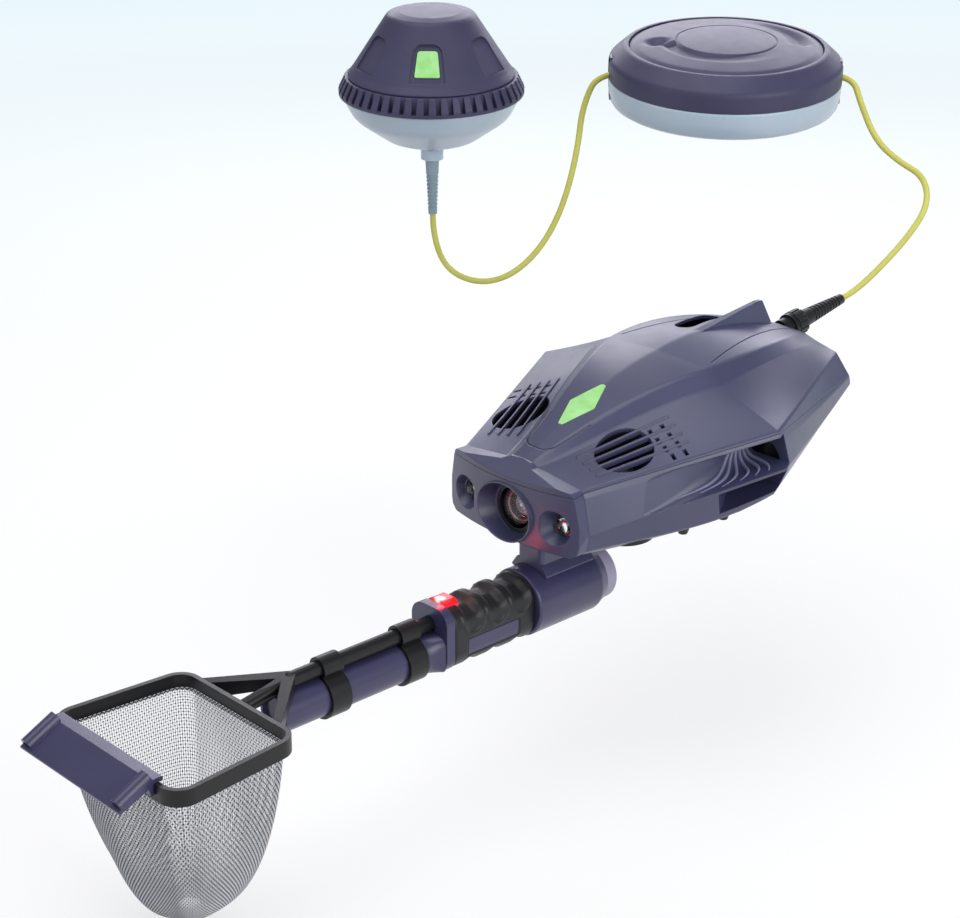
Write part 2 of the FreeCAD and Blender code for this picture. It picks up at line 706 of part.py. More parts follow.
def fin_slot():
    slot = prism_z([(-FIN_SLOT_W / 2, -FIN_SLOT_L / 2), (FIN_SLOT_W / 2, -FIN_SLOT_L / 2),
                    (FIN_SLOT_W / 2, FIN_SLOT_L / 2), (-FIN_SLOT_W / 2, FIN_SLOT_L / 2)],
                   up(60), up(100), FIN_SLOT_W * 0.44)
    slot.rotate(Vector(0, 0, 0), Vector(0, 0, 1), 12)
    slot.translate(Vector(FIN_SLOT_X, FIN_SLOT_Y, 0))
    return slot


def emblem_plan(grow=0.0):
    """Blunt-ended lozenge on the hood's crown."""
    tip = EMBLEM_HALF_LENGTH
    points = [(-1.6, EMBLEM_Y + tip), (1.6, EMBLEM_Y + tip), (EMBLEM_HALF_WIDTH, EMBLEM_Y), (1.6, EMBLEM_Y - tip),
              (-1.6, EMBLEM_Y - tip), (-EMBLEM_HALF_WIDTH, EMBLEM_Y)]
    return inset(points, -grow) if grow else points


def emblem_window(form):
    slab = prism_z(emblem_plan(), up(40), up(95), 1.5)
    return slab.common(form).cut(hull_form(WALL))


def panel_grooves(form):
    """Fine joint line round the central panel: a rounded tongue in front, and two lines that close toward the tail."""
    skin = form.cut(hull_form(GROOVE_DEPTH))
    cuts = []
    for side in (-1, 1):
        lines = [(side * 35.0, 5.0), (side * 10.0, 110.0)]
        (x0, y0), (x1, y1) = lines
        half = GROOVE_WIDTH / 2
        cuts.append(prism_z([(x0 - half, y0), (x0 + half, y0), (x1 + half, y1), (x1 - half, y1)], up(60), up(95)))
    tongue = [(-17, -72), (-9.5, -101), (9.5, -101), (17, -72)]
    outer = prism_z(tongue, up(30), up(70), [0, 9, 9, 0])
    inner = prism_z(inset(tongue, GROOVE_WIDTH), up(30), up(70), [0, 8.2, 8.2, 0])
    cuts.append(outer.cut(inner).common(box(-40, 40, -120, -73.5, up(30), up(70))))
    return fused(cuts).common(skin)


def hood(form, cavity):
    shell = form.common(parting_prism(True, HOOD_GAP)).cut(cavity)
    shell = shell.cut(prism_z(emblem_plan(0.15), up(40), up(95), 1.6))
    shell = shell.cut(fin_slot())
    bars = grille_bars()
    proud = hull_form(-GRILLE_RAISE).common(parting_prism(True, HOOD_GAP)).cut(hull_form(WALL))
    bars = bars.common(proud)
    slots = fused(grille_slots())
    for side in (1, -1):
        region = grille_region(side)
        side_bars = bars if side > 0 else mirrored(bars)
        side_slots = slots if side > 0 else mirrored(slots)
        shell = shell.cut(region).cut(side_slots.cut(side_bars))
        shell = shell.fuse(side_bars)
    shell = shell.cut(panel_grooves(form))
    shell = shell.fuse(fin().cut(cavity)).fuse(visor())
    return largest(shell)


def lower_hull(form, cavity, openings):
    """Lower moulding with both scoops moulded in."""
    shell = form.common(parting_prism(False))
    solid_liner = upper_pocket(SCOOP_WALL).fuse(lower_pocket(SCOOP_WALL))
    both = solid_liner.fuse(mirrored(solid_liner))
    inner = cavity.cut(both)
    shell = shell.cut(inner)
    pockets = upper_pocket().fuse(lower_pocket())
    shell = shell.cut(pockets).cut(mirrored(pockets))
    start, end = thruster_axis()
    bore = rod(SIDE_BORE, start - (end - start) * 0.3, end)
    bore = bore.common(box(30, 130, SCOOP_BACK - 0.01, SCOOP_BACK + 8, up(0), up(90)))
    shell = shell.cut(bore).cut(mirrored(bore)).cut(openings)
    for side in (-1, 1):
        shell = shell.cut(rod(VERT_BORE + DUCT_WALL + 0.1, Vector(side * FRONT_DUCT_X, FRONT_DUCT_Y, up(-5)),
                              Vector(side * FRONT_DUCT_X, FRONT_DUCT_Y, up(12))))
    shell = shell.cut(rod(VERT_BORE + DUCT_WALL + 0.1, Vector(0, REAR_DUCT_Y, up(-5)), Vector(0, REAR_DUCT_Y, up(24))))
    shell = shell.cut(camera_seat()).cut(pylon_bolts(3.0))
    for side in (-1, 1):
        front, direction = lamp_seat(side)
        shell = shell.cut(rod(LAMP_LENS_R + 1.4, front, front + direction * 30))
    return largest(shell)


def skid_foot(x, y):
    foot = cone(4.0, 2.6, Vector(x, y, up(0.0)), Vector(x, y, up(-4.0)))
    return foot


# ---------------------------------------------------------------- thrusters
def propeller(radius):
    """Three-bladed propeller about +Z; the hub runs on the motor's shaft."""
    hub = rod(HUB_R, Vector(0, 0, 0), Vector(0, 0, HUB_H - 2.5))
    nose = cone(HUB_R, HUB_R * 0.45, Vector(0, 0, HUB_H - 2.5), Vector(0, 0, HUB_H))
    blades = []
    stations = ((HUB_R - 1.2, 58.0, 6.0), ((HUB_R + radius) / 2, 36.0, radius * 0.62), (radius, 24.0, radius * 0.5))
    for index in range(BLADES):
        wires = []
        for reach, pitch, chord in stations:
            turn = math.radians(pitch)
            along = Vector(0, math.cos(turn), math.sin(turn))
            across = Vector(0, -math.sin(turn), math.cos(turn))
            centre = Vector(reach, 0, (HUB_H - 2.5) / 2)
            half, thick = chord / 2, BLADE_THICK / 2
            corners = [centre - along * half, centre - across * thick, centre + along * half, centre + across * thick]
            wires.append(Part.makePolygon(corners + corners[:1]))
        blade = Part.makeLoft(wires, True, True)
        blades.append(blade)
        blade.rotate(Vector(0, 0, 0), Vector(0, 0, 1), 360.0 * index / BLADES)
    whole = fused([hub, nose] + blades)
    whole = whole.common(rod(radius, Vector(0, 0, -5), Vector(0, 0, HUB_H + 5)))
    return whole.cut(rod(SHAFT_R + RUN_FIT, Vector(0, 0, -10), Vector(0, 0, HUB_H - 1.5)))


def motor(bore):
    """Motor can, shaft and three struts below a propeller whose hub starts at z = 0."""
    can = turned([(0, -MOTOR_H - RUN_GAP), (MOTOR_R - 2, -MOTOR_H - RUN_GAP), (MOTOR_R, -MOTOR_H + 2 - RUN_GAP),
                  (MOTOR_R, -RUN_GAP), (0, -RUN_GAP)])
    shaft = rod(SHAFT_R, Vector(0, 0, -MOTOR_H), Vector(0, 0, HUB_H - 2))
    strut = box(MOTOR_R - 1, bore - 0.1, -STRUT_W / 2, STRUT_W / 2, -MOTOR_H + 2, -MOTOR_H / 2)
    return fused([can, shaft] + around(strut, 3, 30.0))


def thruster_places():
    """Name, hub point, thrust direction and bore of the five thrusters."""
    start, end = thruster_axis()
    direction = end - start
    direction.normalize()
    side_point = start + direction * 40
    places = []
    for name, sign in (("port", 1), ("starboard", -1)):
        places.append(("front_" + name, Vector(sign * FRONT_DUCT_X, FRONT_DUCT_Y, up(31)), Vector(0, 0, 1), VERT_BORE))
    places.append(("rear", Vector(0, REAR_DUCT_Y, up(52)), Vector(0, 0, 1), VERT_BORE))
    for name, sign in (("port", 1), ("starboard", -1)):
        point = Vector(sign * side_point.x, side_point.y, side_point.z)
        aim = Vector(-sign * direction.x, -direction.y, -direction.z)
        places.append(("side_" + name, point, aim, SIDE_BORE))
    return places


def vertical_ducts():
    ducts = []
    inner_form = hull_form(WALL + 0.1)
    for x, y in ((FRONT_DUCT_X, FRONT_DUCT_Y), (-FRONT_DUCT_X, FRONT_DUCT_Y)):
        sleeve = tube(VERT_BORE + DUCT_WALL, VERT_BORE, Vector(x, y, up(0)), Vector(x, y, up(90)))
        skirt = sleeve.common(box(-80, 80, -120, 0, up(0), up(WALL + 1)))
        ducts.append(largest(sleeve.common(inner_form).fuse(skirt)))
    sleeve = tube(VERT_BORE + DUCT_WALL, VERT_BORE, Vector(0, REAR_DUCT_Y, up(2)), Vector(0, REAR_DUCT_Y, up(70)))
    outer = sleeve.common(hull_form(0.0))
    ducts.append(largest(outer))
    return ducts


def side_thrust_duct():
    """Slanted tube from the scoop's back wall to the tail face, flared outlet ring included."""
    start, end = thruster_axis()
    direction = end - start
    direction.normalize()
    sleeve = tube(SIDE_BORE + DUCT_WALL, SIDE_BORE, start - direction * 10, end + direction * 20)
    limit = box(-20, 120, SCOOP_BACK + SCOOP_WALL + 0.1, TAIL_Y - 0.2, up(0), up(100))
    sleeve = sleeve.common(limit)
    mouth = box(-20, 120, TAIL_Y - 6, TAIL_Y, up(0), up(100)).common(hull_form(0.2))
    return largest(sleeve.common(hull_form(WALL + 0.05).fuse(mouth)))


# ---------------------------------------------------------------- canister, electronics, tether
def canister():
    z = up(CAN_LIFT)
    front = CAN_FRONT_Y
    outer = rod(CAN_R, Vector(0, front, z), Vector(0, CAN_BACK_Y, z))
    inner = rod(CAN_R - CAN_WALL, Vector(0, front + CAN_WALL, z), Vector(0, CAN_BACK_Y - CAN_WALL, z))
    foot = box(-10, 10, PYLON_BACK + 2, BEAM_Y - 6, up(WALL + 0.02), z - CAN_R + 1)
    return outer.fuse(foot).cut(inner)


def battery_pack():
    z = up(CAN_LIFT)
    floor = z - math.sqrt((CAN_R - CAN_WALL) ** 2 - 12 ** 2) + 0.3
    cells = []
    for index in range(2):
        x = -6.1 + 12.2 * index
        cells.append(rod(6.0, Vector(x, -26, floor + 6.2), Vector(x, 26, floor + 6.2)))
    tray = box(-12, 12, -28, 28, floor, floor + 1.6)
    return fused(cells + [tray])


def control_board():
    z = up(CAN_LIFT)
    half = 15.0
    board = box(-half, half, -80, -26, z - 1.0, z + 0.6)
    chips = [box(-8, 4, -74, -60, z + 0.6, z + 2.4), box(2, 11, -50, -40, z + 0.6, z + 3.0)]
    return fused([board] + chips)


def tether_line():
    """Start point on the tail and the direction in which the tether leaves."""
    start = Vector(0, TAIL_Y + 2, up(SOCKET_HEIGHT))
    direction = Vector(0.07, 0.98, 0.18)
    direction.normalize()
    return start, direction


def tether_socket():
    start, direction = tether_line()
    body = rod(SOCKET_R, start - direction * 8, start + direction * 6)
    rim = rod(SOCKET_R + 1.4, start - direction * 1.5, start + direction * 1.5)
    return body.fuse(rim).cut(rod(3.2, start, start + direction * 7))


def lock_ring():
    start, direction = tether_line()
    base = start + direction * 1.8
    ring = tube(LOCK_R, SOCKET_R + RUN_FIT, base, base + direction * LOCK_L)
    knurl = []
    for index in range(12):
        groove = rod(0.8, Vector(LOCK_R + 0.2, 0, -1), Vector(LOCK_R + 0.2, 0, LOCK_L + 1))
        groove.rotate(Vector(0, 0, 0), Vector(0, 0, 1), 30.0 * index)
        knurl.append(aimed(groove, base, direction))
    return ring.cut(fused(knurl))


def boot(length, root_r, tip_r):
    """Tapered strain relief about +Z with ring grooves."""
    body = cone(root_r, tip_r, Vector(0, 0, 0), Vector(0, 0, length))
    for index in range(9):
        z = length * (0.30 + 0.07 * index)
        radius = root_r + (tip_r - root_r) * z / length
        body = body.cut(tube(radius + 2, radius - 0.6, Vector(0, 0, z - 0.7), Vector(0, 0, z + 0.7)))
    return body


def tether_boot():
    start, direction = tether_line()
    base = start + direction * 6.2
    neck = rod(3.1, start + direction * 0.3, base)
    sleeve = aimed(boot(BOOT_L, SOCKET_R - 0.6, 3.2), base, direction)
    return sleeve.fuse(neck)


# ---------------------------------------------------------------- arm
def rounded_box_y(width, height, y0, y1, z, corner):
    points = [(-width / 2, z - height / 2), (width / 2, z - height / 2),
              (width / 2, z + height / 2), (-width / 2, z + height / 2)]
    return prism_y(points, y0, y1, corner)


def pylon_bolts(radius):
    bolts = []
    for y in (PYLON_FRONT + 8, PYLON_BACK - 8):
        bolts.append(rod(radius / 2, Vector(0, y, up(-12)), Vector(0, y, up(WALL + 0.2))))
    return fused(bolts)


def arm_pylon():
    """Saddle that hangs the arm under the hull's nose."""
    plan = [(-PYLON_HALF, PYLON_FRONT), (PYLON_HALF, PYLON_FRONT), (PYLON_HALF, PYLON_BACK), (-PYLON_HALF, PYLON_BACK)]
    post = prism_z(plan, ARM_Z, up(-0.05), 3.0)
    flare = prism_y([(-PYLON_HALF - 5, ARM_Z + BARREL_R - 4), (PYLON_HALF + 5, ARM_Z + BARREL_R - 4),
                     (PYLON_HALF, ARM_Z + BARREL_R + 3), (-PYLON_HALF, ARM_Z + BARREL_R + 3)],
                    PYLON_FRONT, PYLON_BACK, 1.0)
    body = post.fuse(flare).cut(rod(BARREL_R + 0.05, Vector(0, PYLON_FRONT - 5, ARM_Z), Vector(0, PYLON_BACK + 5, ARM_Z)))
    body = body.cut(pylon_bolts(3.0))
    return largest(body)


def arm_barrel():
    """Navy barrel with a necked tail and a stepped bore."""
    outer = turned([(0, 0), (BARREL_R, 0), (BARREL_R, BARREL_BACK - BARREL_FRONT - 7),
                    (CAP_R + 0.4, BARREL_BACK - BARREL_FRONT), (0, BARREL_BACK - BARREL_FRONT)], [0, 1.5, 4, 1, 0])
    spigot = rod(8.0, Vector(0, 0, BARREL_BACK - BARREL_FRONT - 12), Vector(0, 0, BARREL_BACK - BARREL_FRONT + 1))
    shell = aimed(outer.cut(spigot), Vector(0, BARREL_FRONT, ARM_Z), Vector(0, 1, 0))
    core = rod(CORE_R - 0.05, Vector(0, GRIP_FRONT + 0.02, ARM_Z), Vector(0, BARREL_FRONT + 2, ARM_Z))
    channel = rod(ROD_R + 0.3, Vector(0, GRIP_FRONT - 1, ROD_Z), Vector(0, ROD_BACK + 1, ROD_Z))
    return shell.fuse(core).cut(channel)


def barrel_cap():
    """Twist-off tail cap with a spigot that runs in the barrel."""
    disc = turned([(0, 0.2), (CAP_R, 0.2), (CAP_R - 0.6, CAP_L), (0, CAP_L)], [0, 0.4, 1.6, 0])
    spigot = rod(8.0 - RUN_FIT, Vector(0, 0, -11), Vector(0, 0, 1))
    coin = box(-8, 8, -1.2, 1.2, CAP_L - 1.6, CAP_L + 1)
    return aimed(disc.fuse(spigot).cut(coin), Vector(0, BARREL_BACK, ARM_Z), Vector(0, 1, 0))


def grip_form(grow=0.0):
    return rounded_box_y(GRIP_W + 2 * grow, GRIP_H + 2 * grow, GRIP_FRONT, BARREL_FRONT - 0.1, ARM_Z, GRIP_CORNER + grow)


def grip_plate_box(grow=0.0):
    y0, y1 = GRIP_FRONT + 10, BARREL_FRONT - 12
    z0, z1 = ARM_Z - 10.5, ARM_Z - 1.0
    return prism_x([(y0 - grow, z0 - grow), (y1 + grow, z0 - grow), (y1 + grow, z1 + grow), (y0 - grow, z1 + grow)],
                   GRIP_W / 2 - 1.6, GRIP_W / 2 + 4, 1.2)


def grip_sleeve():
    """Rubber sleeve with finger grooves over the arm's core."""
    sleeve = grip_form()
    length = BARREL_FRONT - GRIP_FRONT
    for index in range(GROOVES):
        y = GRIP_FRONT + length * (index + 0.9) / (GROOVES + 0.8)
        for level in (GRIP_H / 2 + GROOVE_R - GROOVE_SINK, -GRIP_H / 2 - GROOVE_R + GROOVE_SINK):
            if level > 0 and index == 0:
                continue
            sleeve = sleeve.cut(rod(GROOVE_R, Vector(-40, y, ARM_Z + level), Vector(40, y, ARM_Z + level)))
    for side in (0, 1):
        plate = grip_plate_box(0.2) if side == 0 else mirrored(grip_plate_box(0.2))
        sleeve = sleeve.cut(plate)
    sleeve = sleeve.cut(rod(CORE_R + 0.05, Vector(0, GRIP_FRONT - 1, ARM_Z), Vector(0, BARREL_FRONT + 1, ARM_Z)))
    return largest(sleeve.cut(lamp_block(0.1)).cut(rod(ROD_R + 0.3, Vector(0, GRIP_FRONT - 5, ROD_Z), Vector(0, ROD_BACK + 1, ROD_Z))))


def lamp_block(grow=0.0):
    """Red beacon across the top of the grip, just behind the flange."""
    top = ARM_Z + GRIP_H / 2 + 2.2
    bottom = ARM_Z + GRIP_H / 2 - 3.5
    points = [(-9 - grow, bottom - grow), (6 + grow, bottom - grow), (6 + grow, top - 2), (3, top + grow), (-6, top + grow),
              (-9 - grow, top - 2)]
    return prism_y(points, GRIP_FRONT + 1.4 - grow, GRIP_FRONT + 10 + grow, 1.6)


def grip_plates():
    plate = grip_plate_box().common(grip_form(-0.6))
    return [plate, mirrored(plate)]


def arm_flange():
    plate = rounded_box_y(FLANGE_W, FLANGE_H, GRIP_FRONT - FLANGE_T, GRIP_FRONT - 0.1, ARM_Z + 1.0, 9.0)
    plate = plate.cut(rod(ROD_R + ROD_FIT, Vector(0, GRIP_FRONT - 20, ROD_Z), Vector(0, GRIP_FRONT + 5, ROD_Z)))
    return plate.cut(rod(TUBE_R + 0.05, Vector(0, GRIP_FRONT - 20, TUBE_Z), Vector(0, GRIP_FRONT - 2.0, TUBE_Z)))


def arm_tube():
    start, end = Vector(0, GRIP_FRONT - 2.1, TUBE_Z), Vector(0, TUBE_FRONT, TUBE_Z)
    body = rod(TUBE_R, start, end)
    hollow = rod(TUBE_R - TUBE_WALL, end - Vector(0, 1, 0), end + Vector(0, 90, 0))
    plug = rod(TUBE_R - TUBE_WALL, end + Vector(0, 2, 0), end + Vector(0, 5, 0))
    return body.cut(hollow).fuse(plug)


def tube_clip(y):
    """Black band round the tube with a loop that carries the rod."""
    y0, y1 = y - CLIP_W / 2, y + CLIP_W / 2
    band = tube(TUBE_R + CLIP_T, TUBE_R + 0.02, Vector(0, y0, TUBE_Z), Vector(0, y1, TUBE_Z))
    loop = rod(ROD_R + CLIP_T, Vector(0, y0, ROD_Z), Vector(0, y1, ROD_Z))
    waist = box(-ROD_R - 0.5, ROD_R + 0.5, y0, y1, TUBE_Z + TUBE_R - 2, ROD_Z)
    body = band.fuse(loop).fuse(waist)
    body = body.cut(rod(ROD_R + ROD_FIT, Vector(0, y0 - 1, ROD_Z), Vector(0, y1 + 1, ROD_Z)))
    return body.cut(rod(TUBE_R + 0.02, Vector(0, y0 - 1, TUBE_Z), Vector(0, y1 + 1, TUBE_Z)))


# ---------------------------------------------------------------- net
def frame_plan(grow):
    return inset([(-NET_BACK_HALF, NET_BACK_Y), (NET_BACK_HALF, NET_BACK_Y),
                  (NET_FRONT_HALF, NET_FRONT_Y), (-NET_FRONT_HALF, NET_FRONT_Y)], -grow)


def strip_ring(outer, inner, z0, z1):
    ring = prism_z(frame_plan(outer), z0, z1, NET_CORNER + outer)
    return ring.cut(prism_z(frame_plan(inner), z0 - 1, z1 + 1, NET_CORNER + inner))


def net_frame():
    return strip_ring(0.0, -STRIP_T, STRIP_TOP - STRIP_H, STRIP_TOP)


def net_handle():
    """Rod that slides in the flange and clips, with two webs that spread to the frame's back bar."""
    shaft = rod(ROD_R, Vector(0, ROD_BACK, ROD_Z), Vector(0, FORK_Y, ROD_Z))
    target_y = NET_BACK_Y + 0.02
    middle_z = STRIP_TOP - STRIP_H / 2
    nose = cone(ROD_R, ROD_R - 0.6, Vector(0, FORK_Y, ROD_Z), Vector(0, target_y, middle_z))
    slope = prism_x([(FORK_Y + 6, ROD_Z + ROD_R), (FORK_Y + 6, ROD_Z - ROD_R), (TUBE_FRONT - 2, ROD_Z - ROD_R),
                     (target_y, STRIP_TOP - STRIP_H), (target_y, STRIP_TOP)], -80, 80)
    shapes = [shaft, Part.makeSphere(ROD_R, Vector(0, FORK_Y, ROD_Z)), nose.common(slope)]
    for side in (-1, 1):
        plan = [(side * 0.0, FORK_Y + 4), (side * FORK_REACH, target_y), (side * (FORK_REACH - 7), target_y),
                (side * 0.0, FORK_Y - 6)]
        web = prism_z(plan, STRIP_TOP - STRIP_H, up(-29.5), 0.0)
        shapes.append(web.common(slope))
    whole = fused(shapes)
    return whole.common(box(-90, 90, target_y, 0, up(-80), up(0)))


def bag_form(skin):
    """Net bag: loft from the frame's outline down to a small rounded bottom."""
    sections = ((0.0, 1.0, 0.0), (0.30, 0.97, 1.0), (0.62, 0.80, 3.0), (0.86, 0.52, 4.0), (1.0, 0.16, 5.0))
    centre_y = (NET_BACK_Y + NET_FRONT_Y) / 2
    base = frame_plan(-STRIP_T - 0.4 - skin)
    top = STRIP_TOP - STRIP_H + 2.0
    wires = []
    for share, scale, drift in sections:
        z = top - (BAG_DEPTH - skin) * share + (2.0 if skin and not share else 0.0)
        points = [(x * scale, centre_y + drift + (y - centre_y) * scale) for x, y in base]
        wires.append(rounded_wire(points, (NET_CORNER + 16 * share) * scale, lambda u, v, z=z: Vector(u, v, z)))
    return Part.makeLoft(wires, True, False)


def net_bag():
    outer = bag_form(0.0)
    inner = bag_form(BAG_SKIN)
    return largest(outer.cut(inner))


def net_scraper():
    """Lip clipped over the front bar: a plate that dips forward, with both ends curled up."""
    top = STRIP_TOP + SCRAPER_T
    back = NET_FRONT_Y + STRIP_T + 2.0
    front = NET_FRONT_Y - SCRAPER_REACH
    profile = [(back, top), (back, STRIP_TOP + 0.05), (NET_FRONT_Y - 0.1, STRIP_TOP + 0.05),
               (NET_FRONT_Y - 0.1, STRIP_TOP - 6), (NET_FRONT_Y - 2.2, STRIP_TOP - 6), (NET_FRONT_Y - 3, STRIP_TOP - 2.0),
               (front, STRIP_TOP - SCRAPER_DIP - 1.2), (front - 0.5, STRIP_TOP - SCRAPER_DIP + 0.4),
               (NET_FRONT_Y - 2, top)]
    plate = prism_x(profile, -SCRAPER_HALF, SCRAPER_HALF, 0.5)
    shapes = [plate]
    for side in (-1, 1):
        start = Vector(side * (SCRAPER_HALF - CURL_R), NET_FRONT_Y - 1.0, top + 0.5)
        end = Vector(side * (SCRAPER_HALF - CURL_R), front + 1.0, STRIP_TOP - SCRAPER_DIP + 2.0)
        curl = rod(CURL_R, start, end).cut(rod(CURL_R - SCRAPER_T + 0.6, start + (start - end) * 0.1, end + (end - start) * 0.1))
        shapes.append(curl)
    body = fused(shapes)
    body.translate(Vector(SCRAPER_X, 0, 0))
    body = body.cut(box(-90, 90, NET_FRONT_Y - 0.05, NET_FRONT_Y + 30, STRIP_TOP - 20, STRIP_TOP + 0.02))
    return largest(body)


# ---------------------------------------------------------------- floats
def lean_placement(at, lean):
    """Stand a float at its place, tipped by the swell toward the vehicle's port bow."""
    turn = math.radians(VIEW_TURN)
    axis = Vector(math.cos(turn), math.sin(turn), 0)
    return Placement(at, Rotation(axis, lean))


def placed(shape, at, lean):
    copy = shape.copy()
    copy.Placement = lean_placement(at, lean).multiply(copy.Placement)
    return copy


def winder_profile(depth):
    return [(0, WINDER_TOP - depth), (DIAL_R + 3 - depth * 0.6, WINDER_TOP - depth),
            (WINDER_R - depth, WINDER_SHOULDER - depth * 0.5), (WINDER_R - depth, 0), (WINDER_R - 1 - depth, -8),
            (WINDER_BASE_R - depth * 0.6, WINDER_BASE + depth), (0, WINDER_BASE + depth)]


def winder_body(depth):
    return turned(winder_profile(depth), [0, 3, 5, 3, 6, 4, 0])


def winder_slots(grow=0.0):
    """Cable slots at both sides of the winder."""
    slots = []
    for angle in SLOT_ANGLES:
        slot = box(WINDER_R - 14, WINDER_R + 5, -4.5 - grow, 4.5 + grow, -14, 14)
        slot.rotate(Vector(0, 0, 0), Vector(0, 0, 1), angle)
        slots.append(slot)
    return slots


def winder_top():
    shell = winder_body(0).cut(winder_body(WINDER_WALL))
    shell = shell.common(rod(WINDER_R + 5, Vector(0, 0, 0.1), Vector(0, 0, 60)))
    well = rod(DIAL_R + 0.4, Vector(0, 0, WINDER_TOP - 5), Vector(0, 0, WINDER_TOP + 10))
    lip = tube(DIAL_R + 3.4, DIAL_R + 0.4, Vector(0, 0, WINDER_TOP - 6), Vector(0, 0, WINDER_TOP - 1))
    shell = shell.cut(well).fuse(lip)
    return largest(shell.cut(fused(winder_slots())))


def winder_base():
    shell = winder_body(0).cut(winder_body(WINDER_WALL))
    shell = shell.common(rod(WINDER_R + 5, Vector(0, 0, -60), Vector(0, 0, 0)))
    post = rod(SPINDLE_R, Vector(0, 0, WINDER_BASE + 1), Vector(0, 0, WINDER_TOP - 6))
    collar = rod(SPINDLE_R + 4, Vector(0, 0, WINDER_BASE + 1), Vector(0, 0, WINDER_BASE + 7))
    return largest(shell.fuse(post).fuse(collar).cut(fused(winder_slots())))


def winder_guides():
    """Smooth liners in the two cable slots."""
    guides = []
    for angle in SLOT_ANGLES:
        outer = box(WINDER_R - 9, WINDER_R - 0.8, -4.4, 4.4, -13.9, 13.9)
        inner = box(WINDER_R - 12, WINDER_R + 2, -2.9, 2.9, -12.4, 12.4)
        guide = outer.cut(inner)
        guide.rotate(Vector(0, 0, 0), Vector(0, 0, 1), angle)
        guides.append(guide)
    return guides


def winder_dial():
    """Crowned turning dial with an inner disc, a finger dimple and a crescent groove."""
    top = WINDER_TOP
    body = turned([(0, top - 4), (DIAL_R, top - 4), (DIAL_R, top - 0.6), (DIAL_R - 6, top + 1.2),
                   (HUB_DISC_R + 2, top + DIAL_CROWN - 0.8), (0, top + DIAL_CROWN)], [0, 0, 1.5, 12, 30, 0])
    seam = tube(HUB_DISC_R + 0.7, HUB_DISC_R, Vector(0, 0, top + DIAL_CROWN - 1.6), Vector(0, 0, top + DIAL_CROWN + 5))
    body = body.cut(seam)
    dimple = Part.makeSphere(13.0, Vector(-44.5, 0, top + 13.2))
    dimple.rotate(Vector(0, 0, 0), Vector(0, 0, 1), VIEW_TURN)
    body = body.cut(dimple)
    arc = tube(52.0, 47.5, Vector(0, 0, top + 0.6), Vector(0, 0, top + 10))
    wedge = prism_z([(0, 0), (70, -16), (70, 34)], top, top + 12)
    crescent = arc.common(wedge)
    crescent.rotate(Vector(0, 0, 0), Vector(0, 0, 1), VIEW_TURN)
    body = body.cut(crescent)
    hub = tube(SPINDLE_R + 6, SPINDLE_R + RUN_FIT, Vector(0, 0, top - 9), Vector(0, 0, top - 4))
    return body.fuse(hub)


def winder_spool():
    low = SPOOL_LOW
    core = tube(SPOOL_CORE_R, SPOOL_CORE_R - 2.0, Vector(0, 0, low), Vector(0, 0, low + SPOOL_H))
    plates = [tube(SPOOL_R, SPINDLE_R + RUN_FIT, Vector(0, 0, z), Vector(0, 0, z + SPOOL_FLANGE))
              for z in (low, low + SPOOL_H - SPOOL_FLANGE)]
    neck = tube(SPINDLE_R + 6, SPINDLE_R + RUN_FIT, Vector(0, 0, low + SPOOL_H - SPOOL_FLANGE), Vector(0, 0, WINDER_TOP - 9.0))
    return fused([core, neck] + plates)


def wound_tether():
    low = SPOOL_LOW + SPOOL_FLANGE
    high = SPOOL_LOW + SPOOL_H - SPOOL_FLANGE
    return tube(COIL_R, SPOOL_CORE_R + 0.02, Vector(0, 0, low + 0.05), Vector(0, 0, high - 0.05))


def buoy_cone(depth):
    return turned([(0, BUOY_RING_H / 2), (BUOY_R - 5 - depth, BUOY_RING_H / 2),
                   (BUOY_R - 9 - depth, BUOY_RING_H / 2 + 5), (BUOY_TOP_R - depth * 0.4, BUOY_TOP - depth * 1.1),
                   (BUOY_TOP_R - 8, BUOY_TOP + 1.6 - depth * 1.1), (0, BUOY_TOP + 2 - depth * 1.1)], [0, 1, 3, 5, 6, 0])


def buoy_panel(sink):
    """Arch-shaped recess in the cone's flank, facing +X."""
    slope = math.degrees(math.atan2(BUOY_R - 9 - BUOY_TOP_R, BUOY_TOP - BUOY_RING_H / 2 - 5))
    points = [(-11.5, 0), (11.5, 0), (8.5, 25), (-8.5, 25)]
    plate = prism_x([(u, v) for u, v in points], -sink, 12, [1, 1, 6, 6])
    plate.rotate(Vector(0, 0, 0), Vector(0, 1, 0), -slope)
    plate.translate(Vector(BUOY_R - 11, 0, BUOY_RING_H / 2 + 8))
    return plate


def buoy_window():
    slope = math.degrees(math.atan2(BUOY_R - 9 - BUOY_TOP_R, BUOY_TOP - BUOY_RING_H / 2 - 5))
    pane = prism_x([(-8, 4), (8, 4), (6.2, 21), (-6.2, 21)], -1.95, -0.9, [1, 1, 2, 2])
    pane.rotate(Vector(0, 0, 0), Vector(0, 1, 0), -slope)
    pane.translate(Vector(BUOY_R - 11, 0, BUOY_RING_H / 2 + 8))
    pane.rotate(Vector(0, 0, 0), Vector(0, 0, 1), BUOY_WINDOW_ANGLE)
    return pane


def buoy_dome():
    body = buoy_cone(0)
    for panel in around(buoy_panel(2.0), BUOY_PANELS, BUOY_WINDOW_ANGLE):
        body = body.cut(panel)
    return largest(body.cut(buoy_cone(BUOY_WALL + 2.2)))


